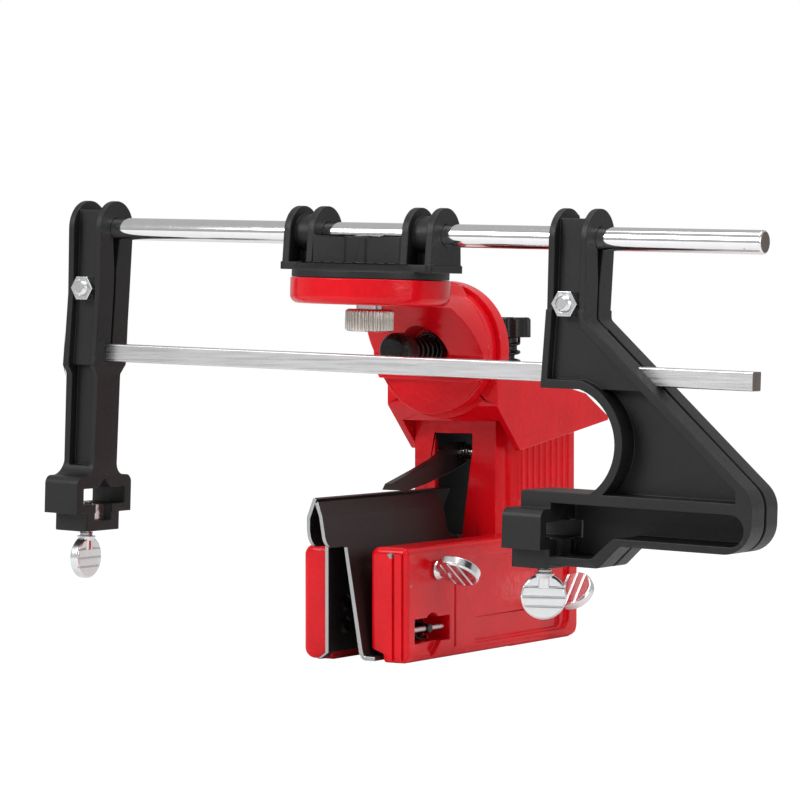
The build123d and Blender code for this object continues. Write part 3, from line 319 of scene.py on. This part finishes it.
def effect(tree, name, **values):
    "places a shared effect in a material, on its Object coordinates"
    made = tree.nodes.new("ShaderNodeGroup")
    made.node_tree = GROUPS[name]
    tree.links.new(object_place(tree), made.inputs["Vector"])
    for label, value in values.items():
        made.inputs[label].default_value = value
    return made.outputs


def object_place(tree):
    "a material's Object coordinates, from one node that its effects share"
    for made in tree.nodes:
        if made.bl_idname == "ShaderNodeTexCoord":
            return made.outputs["Object"]
    return tree.nodes.new("ShaderNodeTexCoord").outputs["Object"]


def new_material(name):
    "a material with its node tree and the sockets of its main shader"
    material = bpy.data.materials.new(name)
    material.use_nodes = True
    tree = material.node_tree
    return material, tree, tree.nodes["Principled BSDF"].inputs


def feed(tree, shader, **values):
    "sets or links the sockets of the main shader, named with underscores"
    for label, value in values.items():
        socket = shader[label.replace("_", " ")]
        if isinstance(value, bpy.types.NodeSocket):
            tree.links.new(value, socket)
        elif isinstance(value, (tuple, list, Vector)):
            socket.default_value = (*value[:3], 1.0)
        else:
            socket.default_value = value


def paint_material(name, colour, chip_at=None):
    """thick gloss paint over a rough casting, with a painted highlight along its edges, pits and small chips"""
    material, tree, shader = new_material(name)
    lumps = effect(tree, "Surface grain", Scale=70.0, Fine=6.0)
    skin = effect(tree, "Surface grain", Scale=620.0, Fine=3.0)
    pits = effect(tree, "Scattered specks", Scale=260.0, Size=0.10, Share=0.22)["Mask"]
    # painted highlight: the red turns lighter along the convex edges, in patches
    edge_highlight = effect(tree, "Worn and highlit edges", Reach=0.045, Patches=260.0, Cover=0.6)["Mask"]
    dust = effect(tree, "Settled dust", Scale=160.0, Amount=0.02)["Mask"]
    deep = shaded(colour, 0.86)
    light = (min(1.0, colour[0] * 1.06), colour[1] + 0.004, colour[2] + 0.006)
    base = mixed(tree, lumps["Tone"], deep, colour)
    base = mixed(tree, ranged(tree, skin["Tone"], 0.4, 1.0, 0.0, 0.35), base, light)
    base = mixed(tree, dust, base, (0.80, 0.62, 0.60))
    # painted highlight on the edges, half way to the lighter red
    base = mixed(tree, sums(tree, "MULTIPLY", edge_highlight, 0.5), base, light)
    worn = 0.0 if chip_at is None else chip_mask(tree, chip_at)
    base = mixed(tree, worn, base, (0.30, 0.29, 0.28))
    rough = ranged(tree, skin["Tone"], 0.0, 1.0, 0.16, 0.24)
    rough = sums(tree, "ADD", rough, sums(tree, "MULTIPLY", worn, 0.3))
    height = sums(tree, "SUBTRACT", skin["Height"], sums(tree, "MULTIPLY", pits, 1.6))
    height = sums(tree, "SUBTRACT", height, sums(tree, "MULTIPLY", worn, 2.0))
    normal = bumped(tree, lumps["Height"], 0.00022)
    normal = bumped(tree, height, 0.000018, normal=normal)
    bare = sums(tree, "MULTIPLY", worn, 0.7)
    feed(tree, shader, Base_Color=base, Roughness=rough, Normal=normal, Metallic=bare,
         Coat_Weight=0.08, Coat_Roughness=0.06)
    shader["Specular IOR Level"].default_value = 0.24
    return material


def chip_mask(tree, places):
    "ragged round patches about given points, each with its radius"
    here = object_place(tree)
    noise = put(tree, "TexNoise", {"Vector": here, "Scale": 900.0, "Detail": 4.0}).outputs["Fac"]
    mask = None
    for place, radius in places:
        away = put(tree, "VectorMath", {0: here, 1: place}, operation="DISTANCE").outputs["Value"]
        ragged = sums(tree, "MULTIPLY", sums(tree, "SUBTRACT", noise, 0.5), radius * 1.6)
        away = sums(tree, "ADD", away, ragged)
        patch = ranged(tree, away, radius, radius * 0.9, 0.0, 1.0)
        mask = patch if mask is None else sums(tree, "MAXIMUM", mask, patch)
    return mask


def nylon_material(name, colour, roughness=0.42):
    "black moulded nylon with a spark-eroded grain, flow marks and rubbed edges"
    material, tree, shader = new_material(name)
    flow = effect(tree, "Surface grain", Scale=45.0, Fine=7.0)
    grain = effect(tree, "Surface grain", Scale=1500.0, Fine=2.5)
    worn = effect(tree, "Worn and highlit edges", Reach=0.05, Patches=180.0, Cover=0.75)["Mask"]
    dust = effect(tree, "Settled dust", Scale=200.0, Amount=0.05)["Mask"]
    specks = effect(tree, "Scattered specks", Scale=420.0, Size=0.09, Share=0.10)["Mask"]
    base = mixed(tree, flow["Tone"], shaded(colour, 0.75), shaded(colour, 1.2))
    base = mixed(tree, sums(tree, "MULTIPLY", worn, 0.3), base, (0.05, 0.052, 0.055))
    base = mixed(tree, dust, base, (0.12, 0.12, 0.12))
    base = mixed(tree, sums(tree, "MULTIPLY", specks, 0.2), base, (0.14, 0.14, 0.14))
    rough = ranged(tree, grain["Tone"], 0.0, 1.0, roughness - 0.06, roughness + 0.08)
    rough = sums(tree, "ADD", rough, sums(tree, "MULTIPLY", flow["Tone"], 0.05))
    normal = bumped(tree, flow["Height"], 0.00012)
    normal = bumped(tree, grain["Height"], 0.000022, normal=normal)
    feed(tree, shader, Base_Color=base, Roughness=rough, Normal=normal)
    shader["Specular IOR Level"].default_value = 0.36
    return material


def oxide_material(name, colour, roughness=0.36):
    "blackened sheet steel: brown-black, faintly mottled and oily, with fine bright pinholes"
    material, tree, shader = new_material(name)
    mottle = effect(tree, "Surface grain", Scale=55.0, Fine=5.0)
    grain = effect(tree, "Surface grain", Scale=1300.0, Fine=3.0)
    rolled = effect(tree, "Drawn lines", Scale=900.0)
    rolled["Height"].node.inputs["Along"].default_value = (1.0, 0.03, 1.0)
    specks = effect(tree, "Scattered specks", Scale=900.0, Size=0.12, Share=0.12)["Mask"]
    brown = (colour[0] * 1.25, colour[1] * 0.95, colour[2] * 0.85)
    base = mixed(tree, mottle["Tone"], shaded(colour, 0.8), brown)
    base = mixed(tree, sums(tree, "MULTIPLY", grain["Tone"], 0.2), base, shaded(colour, 1.4))
    base = mixed(tree, sums(tree, "MULTIPLY", specks, 0.7), base, (0.32, 0.29, 0.28))
    rough = ranged(tree, mottle["Tone"], 0.0, 1.0, roughness - 0.04, roughness + 0.06)
    rough = sums(tree, "ADD", rough, sums(tree, "MULTIPLY", rolled["Tone"], 0.05))
    height = sums(tree, "ADD", grain["Height"], sums(tree, "MULTIPLY", rolled["Height"], 0.6))
    height = sums(tree, "SUBTRACT", height, specks)
    normal = bumped(tree, height, 0.000012)
    feed(tree, shader, Base_Color=base, Roughness=rough, Normal=normal, Metallic=0.35)
    return material


def metal_material(name, colour, roughness, along, line_depth, streak, spot_share=0.12):
    "bare or plated metal with fine lines, soft streaks and a few dull spots"
    material, tree, shader = new_material(name)
    lines = effect(tree, "Drawn lines", Scale=1400.0)
    broad = effect(tree, "Drawn lines", Scale=260.0)
    for made in (lines, broad):
        made["Height"].node.inputs["Along"].default_value = along
    grain = effect(tree, "Surface grain", Scale=240.0, Fine=6.0)
    spots = effect(tree, "Scattered specks", Scale=150.0, Size=0.10, Share=spot_share)["Mask"]
    base = mixed(tree, sums(tree, "MULTIPLY", broad["Tone"], streak), colour, shaded(colour, 0.72))
    base = mixed(tree, sums(tree, "MULTIPLY", grain["Tone"], 0.15), base, shaded(colour, 1.12))
    base = mixed(tree, sums(tree, "MULTIPLY", spots, 0.6), base, METAL_DIRT)
    rough = ranged(tree, lines["Tone"], 0.0, 1.0, roughness * 0.75, roughness * 1.25)
    rough = sums(tree, "ADD", rough, sums(tree, "MULTIPLY", spots, 0.25))
    normal = bumped(tree, lines["Height"], line_depth)
    feed(tree, shader, Base_Color=base, Roughness=rough, Normal=normal, Metallic=1.0)
    return material


MATERIALS = {}


def make_materials():
    "the shared effects, then every finish by its own name"
    finishes = bpy.context.scene.guide_finishes
    for maker in (make_grain_group, make_edge_wear_and_highlight_group, make_speck_group, make_line_group, make_dust_group):
        group = maker()
        GROUPS[group.name] = group
    MATERIALS["clamp paint"] = paint_material("clamp paint", finishes.paint, PAINT_CHIPS)
    MATERIALS["head paint"] = paint_material("head paint", finishes.paint)
    # painted shade: a near-black oxide on the window's inner walls stands for the shade inside the window
    MATERIALS["window painted shade"] = oxide_material("window painted shade", shaded(finishes.plate, 0.35), roughness=0.6)
    MATERIALS["nylon"] = nylon_material("black nylon", finishes.moulding)
    MATERIALS["knob nylon"] = nylon_material("knob nylon", shaded(finishes.moulding, 0.7), roughness=0.27)
    MATERIALS["oxide"] = oxide_material("blackened plate", finishes.plate)
    MATERIALS["oiled oxide"] = oxide_material(
        "oiled black steel", shaded(finishes.plate, 0.45), roughness=0.28)
    MATERIALS["cut edge"] = metal_material(
        "sheared edge", shaded(finishes.zinc, 0.62), roughness=0.34,
        along=(1.0, 1.0, 0.05), line_depth=0.00003, streak=0.5)
    MATERIALS["chrome"] = metal_material(
        "chromed rod", finishes.chrome, roughness=0.09,
        along=(1.0, 0.04, 0.04), line_depth=0.000002, streak=0.12)
    MATERIALS["drawn steel"] = metal_material(
        "drawn square bar", finishes.steel, roughness=0.32,
        along=(0.02, 1.0, 1.0), line_depth=0.0000012, streak=0.05, spot_share=0.05)
    MATERIALS["sawn end"] = metal_material(
        "sawn end", (0.21, 0.175, 0.155), roughness=0.48,
        along=(1.0, 1.0, 0.08), line_depth=0.00004, streak=0.6)
    MATERIALS["zinc"] = metal_material(
        "bright zinc", finishes.zinc, roughness=0.22,
        along=(1.0, 1.0, 1.0), line_depth=0.0000008, streak=0.12, spot_share=0.05)
    MATERIALS["nickel"] = metal_material(
        "nickel plate", finishes.nickel, roughness=0.22,
        along=(1.0, 1.0, 0.1), line_depth=0.000001, streak=0.2, spot_share=0.05)


# Mesh helpers


def pick(piece):
    "makes one object the only one selected, and the active one"
    bpy.ops.object.select_all(action="DESELECT")
    piece.select_set(True)
    bpy.context.view_layer.objects.active = piece


def give(piece, *names):
    "puts materials in the piece's slots"
    piece.data.materials.clear()
    for name in names:
        piece.data.materials.append(MATERIALS[name])


def welded_copy(node, name):
    "a copy of a CAD node's mesh with its loose triangles joined"
    piece = bpy.data.objects.new(name, frame["nodes"][node].data.copy())
    bpy.context.scene.collection.objects.link(piece)
    pick(piece)
    bpy.ops.mesh.customdata_custom_splitnormals_clear()
    weld(piece)
    return piece


def weld(piece):
    "joins points that lie together and takes out slivers"
    pick(piece)
    bpy.ops.object.mode_set(mode="EDIT")
    bpy.ops.mesh.select_all(action="SELECT")
    bpy.ops.mesh.remove_doubles(threshold=WELD)
    bpy.ops.mesh.dissolve_degenerate(threshold=SLIVER)
    bpy.ops.mesh.select_all(action="DESELECT")
    bpy.ops.object.mode_set(mode="OBJECT")


def round_edges(piece, width, segments=3, node=None):
    "bevels the sharp edges, tames them against the CAD node if one is given, and shades the piece"
    pick(piece)
    bevel = piece.modifiers.new("edge rounding", "BEVEL")
    bevel.limit_method = "ANGLE"
    bevel.angle_limit = radians(BEVEL_DEG)
    bevel.width = width
    bevel.segments = segments
    bevel.use_clamp_overlap = False
    bevel.loop_slide = False
    bevel.miter_outer = "MITER_ARC"
    bpy.ops.object.modifier_apply(modifier=bevel.name)
    if node is not None:
        tame(piece, node, width)
    smooth(piece)


def tame(piece, node, width):
    "puts back on the CAD surface the points that a rounding threw off it in tight corners"
    source = bmesh.new()
    source.from_mesh(frame["nodes"][node].data)
    surface = BVHTree.FromBMesh(source)
    source.free()
    for vertex in piece.data.vertices:
        place, _, _, away = surface.find_nearest(vertex.co)
        if away > width * TAME_SHARE:
            vertex.co = place
    weld(piece)


def smooth(piece, sharp_deg=40.0):
    "shades a piece smooth between its sharp edges, with normals led by its larger faces"
    pick(piece)
    bpy.ops.object.shade_smooth_by_angle(angle=radians(sharp_deg))
    weights = piece.modifiers.new("face weights", "WEIGHTED_NORMAL")
    weights.keep_sharp = True
    weights.weight = 90
    bpy.ops.object.modifier_apply(modifier=weights.name)


def stands_for(piece, body, slot, *nodes):
    """attaches a piece to its body and hides the CAD nodes that it stands in for; the material slot is not used
    """
    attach(piece, body)
    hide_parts(*nodes)


def paint_faces(piece, slot_number, wanted):
    "gives a material slot to the faces that a test picks by centre and normal"
    for face in piece.data.polygons:
        if wanted(face.center, face.normal):
            face.material_index = slot_number


def turned(name, sections, place):
    "a turned piece along its own +Z: (height, radius) sections in millimetres, put at a place"
    height, radius = sections[0]
    bpy.ops.object.select_all(action="DESELECT")
    bpy.ops.mesh.primitive_circle_add(
        vertices=TURNED_SIDES, radius=radius * MM, fill_type="NGON", location=(0, 0, height * MM))
    piece = bpy.context.object
    piece.name = name
    bpy.ops.object.mode_set(mode="EDIT")
    bpy.ops.mesh.select_all(action="SELECT")
    for next_height, next_radius in sections[1:]:
        bpy.ops.mesh.extrude_region_move(
            TRANSFORM_OT_translate={"value": (0, 0, (next_height - height) * MM)})
        share = next_radius / radius
        bpy.ops.transform.resize(value=(share, share, 1), center_override=(0, 0, next_height * MM))
        height, radius = next_height, next_radius
    bpy.ops.mesh.select_all(action="SELECT")
    bpy.ops.mesh.normals_make_consistent(inside=False)
    bpy.ops.mesh.select_all(action="DESELECT")
    bpy.ops.object.mode_set(mode="OBJECT")
    settle(piece, place)
    return piece


def settle(piece, place):
    "moves the mesh to its place, with its object left at the origin"
    piece.data.transform(place @ piece.matrix_basis)
    piece.matrix_basis = Matrix.Identity(4)


def threads(start, stop, radius, pitch, depth):
    "sections of a threaded length, crest and root in turn"
    count = max(1, round(abs(stop - start) / pitch))
    step = (stop - start) / count
    flank, crest, root = THREAD_SHARES
    sections = []
    for turn in range(count):
        at = start + turn * step
        sections += [(at, radius - depth), (at + step * flank, radius), (at + step * crest, radius),
                     (at + step * root, radius - depth)]
    sections.append((stop, radius - depth))
    return sections


# Castings


def inside_window(centre, normal):
    "faces of the tower's through window and of the slot under it, behind the front face"
    x, y, z = centre / MM
    across = WINDOW_X[0] < x < WINDOW_X[1] and (abs(normal.x) > 0.5 or abs(normal.z) > 0.5)
    return across and y > WINDOW_FRONT and WINDOW_Z[0] < z < WINDOW_Z[1]


def make_castings():
    "the clamp body, the sliding cap and the tilting head"
    sizes = bpy.context.scene.guide_sizes
    for node, name, body, finishes in (
        ("clamp_body", "clamp_casting", "clamp", ("clamp paint", "window painted shade")),
        ("elevator_head", "cap_casting", "elevator", ("head paint",)),
        ("tilt_head", "tilt_casting", "tilt_head", ("head paint",)),
    ):
        piece = welded_copy(node, name)
        round_edges(piece, sizes.casting_round, node=node)
        give(piece, *finishes)
        # the clamp's window walls get the painted shade
        if "window painted shade" in finishes:
            paint_faces(piece, 1, inside_window)
        stands_for(piece, body, "red_paint", node)


# Sheet steel


def make_plates():
    "the two jaw plates, bare along their cut edges"
    sizes = bpy.context.scene.guide_sizes
    for node, name, body in (
        ("fixed_plate", "fixed_jaw_plate", "clamp"),
        ("moving_plate", "moving_jaw_plate", "moving_plate"),
    ):
        piece = welded_copy(node, name)
        give(piece, "oxide", "cut edge")
        paint_faces(piece, 1, lambda centre, normal: abs(normal.y) > 0.5)
        round_edges(piece, sizes.pressed_round, segments=2, node=node)
        stands_for(piece, body, "black_oxide", node)


def make_pawl():
    "the pawl that holds the chain"
    sizes = bpy.context.scene.guide_sizes
    piece = welded_copy("pawl", "chain_pawl")
    round_edges(piece, sizes.pressed_round, node="pawl")
    give(piece, "oxide")
    stands_for(piece, "pawl", "black_oxide", "pawl")


# Nylon


def make_mouldings():
    "the arms, the swivel table, the knobs and the cup"
    sizes = bpy.context.scene.guide_sizes
    for node, name, body, finish in (
        ("left_arm", "left_arm_moulding", "left_arm", "nylon"),
        ("right_arm", "right_arm_moulding", "right_arm", "nylon"),
        ("swivel_table", "swivel_table_moulding", "swivel_table", "nylon"),
        ("height_knob", "height_knob_moulding", "height_screw", "knob nylon"),
        ("tilt_knob", "tilt_knob_moulding", "tilt_knob", "knob nylon"),
        ("tilt_cup", "tilt_cup_moulding", "elevator", "knob nylon"),
    ):
        piece = welded_copy(node, name)
        round_edges(piece, sizes.moulding_round, node=node)
        give(piece, finish)
        stands_for(piece, body, "black_nylon", node)


# Metal fittings


def make_fittings():
    "the heads of the thumb screws and the nuts, each named after its CAD node"
    sizes = bpy.context.scene.guide_sizes
    for node, finish in (
        ("front_clamp_wing", "zinc"),
        ("rear_clamp_wing", "zinc"),
        ("left_file_wing", "zinc"),
        ("right_file_wing", "zinc"),
        ("left_arm_nut", "zinc"),
        ("right_arm_nut", "zinc"),
        ("swivel_nut", "nickel"),
    ):
        piece = welded_copy(node, node + "_piece")
        round_edges(piece, sizes.turned_round, node=node)
        give(piece, finish)
        body = frame["nodes"][node]["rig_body"]
        stands_for(piece, body, finish, node)


def make_file_screws():
    "the threaded shanks of the two file screws"
    thread = threads(-113.8, -102.3, radius=2.5, pitch=1.0, depth=0.3)
    sections = [(-118.5, 2.46), (-113.8, 2.46), *thread, (-101.0, 1.25)]
    for side, x in FILE_SCREWS:
        place = HEAD @ Matrix.Translation((x * MM, 0, 0))
        piece = turned(side + "_file_thread", sections, place)
        smooth(piece, sharp_deg=30.0)
        give(piece, "zinc")
        stands_for(piece, side + "_file_shank", "zinc", side + "_file_shank")


def make_arm_bolts():
    "the round-headed bolts that pinch the arms on the bar, threaded at their front ends"
    head = [(-9.6, 3.0), (-9.5, 3.7), (-9.1, 4.3), (-8.4, 4.7), (-6.7, 4.7), (-6.6, 4.6), (-6.6, 2.7)]
    thread = threads(5.9, 12.2, radius=2.7, pitch=0.9, depth=0.28)
    sections = [*head, (5.8, 2.7), *thread, (12.6, 1.9)]
    for arm, left in GRIP_LEFTS:
        middle = left + GRIP_WIDE / 2 - GRIP_LEAN
        centre = Matrix.Translation((middle * MM, 0, -BOLT_DROP * MM))
        piece = turned(arm + "_threaded_bolt", sections, HEAD @ centre @ Matrix.Rotation(radians(90), 4, "X"))
        smooth(piece, sharp_deg=30.0)
        give(piece, "zinc")
        stands_for(piece, arm, "zinc", arm + "_bolt")


def make_bars():
    "the guide rod and the square bar, with sawn ends"
    sizes = bpy.context.scene.guide_sizes
    for node, name, body, finish, slot in (
        ("guide_rod", "chromed_guide_rod", "guide_rod", "chrome", "chromed_steel"),
        ("square_bar", "drawn_square_bar", "file_frame", "drawn steel", "drawn_steel"),
    ):
        piece = welded_copy(node, name)
        give(piece, finish, "sawn end")
        paint_faces(piece, 1, lambda centre, normal: abs(normal.x) > 0.95)
        round_edges(piece, sizes.pressed_round, segments=2)
        stands_for(piece, body, slot, node)


def finish_kept_nodes():
    "gives every CAD node that stays in sight its finish"
    kept = {
        "oiled oxide": ("plate_rivets", "plate_stud", "plate_return_spring", "pawl_spring", "height_screw",
                        "height_spring", "tilt_spring", "tilt_bolt"),
        "zinc": ("front_clamp_shank", "rear_clamp_shank", "swivel_stud", "swivel_washer", "left_file_nut",
                 "right_file_nut"),
        "drawn steel": ("pawl_pin", "plate_stud_pin"),
    }
    for finish, nodes in kept.items():
        for node in nodes:
            give(frame["nodes"][node], finish)


# Stage


def make_stage():
    "the floor, the world, three soft lamps and the photograph's camera"
    stage_floor()
    stage_world()
    lamps = (
        ("key lamp", (-420, -950, 700), (0, 20, 90), 560, 7.2),
        ("top lamp", (120, -40, 950), (0, 30, 80), 700, 5.2),
        ("side lamp", (1100, -220, 380), (20, 40, 90), 500, 3.0),
    )
    for name, place, aim, side, power in lamps:
        bpy.ops.object.select_all(action="DESELECT")
        bpy.ops.object.light_add(type="AREA", location=Vector(place) * MM)
        lamp = bpy.context.object
        lamp.name = name
        lamp.data.size = side * MM
        lamp.data.energy = power
        look = (Vector(aim) - Vector(place)) * MM
        lamp.rotation_euler = look.to_track_quat("-Z", "Y").to_euler()
    bpy.ops.object.select_all(action="DESELECT")
    bpy.ops.object.camera_add(location=Vector(CAMERA_PLACE) * MM)
    camera = bpy.context.object
    camera.name = "photo camera"
    camera.rotation_euler = Vector(CAMERA_LOOK).to_track_quat("-Z", "Y").to_euler()
    camera.data.lens = CAMERA_LENS
    camera.data.sensor_width = 36.0
    camera.data.clip_start = 0.01
    camera.data.clip_end = 100.0
    bpy.context.scene.camera = camera
    bpy.context.scene.view_settings.view_transform = "Standard"


def stage_floor():
    "a pale floor that the camera sees as almost plain white"
    bpy.ops.object.select_all(action="DESELECT")
    bpy.ops.mesh.primitive_plane_add(size=12.0, location=(0, 0, 0))
    floor = bpy.context.object
    floor.name = "pale_floor"
    material, tree, shader = new_material("pale floor")
    feed(tree, shader, Base_Color=(0.92, 0.92, 0.92), Roughness=0.9)
    shader["Specular IOR Level"].default_value = 0.1
    lit = put(tree, "Emission", {"Color": (1, 1, 1, 1), "Strength": FLOOR_GLOW}).outputs["Emission"]
    seen = put(tree, "LightPath").outputs["Is Camera Ray"]
    share = sums(tree, "MULTIPLY", seen, FLOOR_GLOW_SHARE)
    plain = tree.nodes["Principled BSDF"].outputs["BSDF"]
    both = put(tree, "MixShader", {0: share, 1: plain, 2: lit}).outputs["Shader"]
    tree.links.new(both, tree.nodes["Material Output"].inputs["Surface"])
    floor.data.materials.append(material)


def stage_world():
    "a white world, dimmer as a light than as a background"
    world = bpy.data.worlds.new("soft studio")
    world.use_nodes = True
    tree = world.node_tree
    path = put(tree, "LightPath").outputs
    seen = sums(tree, "MAXIMUM", path["Is Camera Ray"], path["Is Transmission Ray"])
    back = tree.nodes["Background"]
    glossy = sums(tree, "MULTIPLY", path["Is Glossy Ray"], WORLD_GLOSS)
    level = ranged(tree, sums(tree, "MAXIMUM", seen, glossy), 0.0, 1.0, WORLD_FILL, 1.0)
    tree.links.new(level, back.inputs["Strength"])
    back.inputs["Color"].default_value = (1, 1, 1, 1)
    bpy.context.scene.world = world


# Operators


class GUIDE_OT_stage(Operator):
    """Sets the pale floor, the soft lamps, the world and the camera of the photograph"""

    bl_idname = "guide.stage"
    bl_label = "Stage"

    def execute(self, context):
        make_stage()
        return {"FINISHED"}


class GUIDE_OT_finishes(Operator):
    """Builds the paint, nylon and metal finishes and gives them to the CAD pieces that stay"""

    bl_idname = "guide.finishes"
    bl_label = "Finishes"

    def execute(self, context):
        make_materials()
        finish_kept_nodes()
        return {"FINISHED"}


class GUIDE_OT_castings(Operator):
    """Rounds and paints the clamp, the sliding cap and the tilting head"""

    bl_idname = "guide.castings"
    bl_label = "Painted castings"

    def execute(self, context):
        make_castings()
        return {"FINISHED"}


class GUIDE_OT_plates(Operator):
    """Finishes the two jaw plates and the pawl in blackened sheet steel"""

    bl_idname = "guide.plates"
    bl_label = "Plates and pawl"

    def execute(self, context):
        make_plates()
        make_pawl()
        return {"FINISHED"}


class GUIDE_OT_mouldings(Operator):
    """Finishes the arms, the swivel table and the knobs in black nylon"""

    bl_idname = "guide.mouldings"
    bl_label = "Nylon pieces"

    def execute(self, context):
        make_mouldings()
        return {"FINISHED"}


class GUIDE_OT_fittings(Operator):
    """Finishes the rod, the square bar, the thumb screws and the nuts"""

    bl_idname = "guide.fittings"
    bl_label = "Metal fittings"

    def execute(self, context):
        make_bars()
        make_fittings()
        make_file_screws()
        make_arm_bolts()
        return {"FINISHED"}


class GUIDE_PT_panel(Panel):
    """Lists the steps that dress the file guide"""

    bl_idname = "GUIDE_PT_panel"
    bl_label = "File guide"
    bl_space_type = "VIEW_3D"
    bl_region_type = "UI"
    bl_category = "File guide"

    def draw(self, context):
        for operator in OPERATORS:
            self.layout.operator(operator.bl_idname)


OPERATORS = (
    GUIDE_OT_stage,
    GUIDE_OT_finishes,
    GUIDE_OT_castings,
    GUIDE_OT_plates,
    GUIDE_OT_mouldings,
    GUIDE_OT_fittings,
)
CLASSES = (GuideFinishes, GuideSizes, *OPERATORS, GUIDE_PT_panel)


def register():
    for made in CLASSES:
        bpy.utils.register_class(made)
    bpy.types.Scene.guide_finishes = PointerProperty(type=GuideFinishes)
    bpy.types.Scene.guide_sizes = PointerProperty(type=GuideSizes)


def unregister():
    del bpy.types.Scene.guide_sizes
    del bpy.types.Scene.guide_finishes
    for made in reversed(CLASSES):
        bpy.utils.unregister_class(made)


def main():
    register()
    bpy.ops.guide.stage()
    bpy.ops.guide.finishes()
    bpy.ops.guide.castings()
    bpy.ops.guide.plates()
    bpy.ops.guide.mouldings()
    bpy.ops.guide.fittings()


if __name__ == "__main__":
    main()
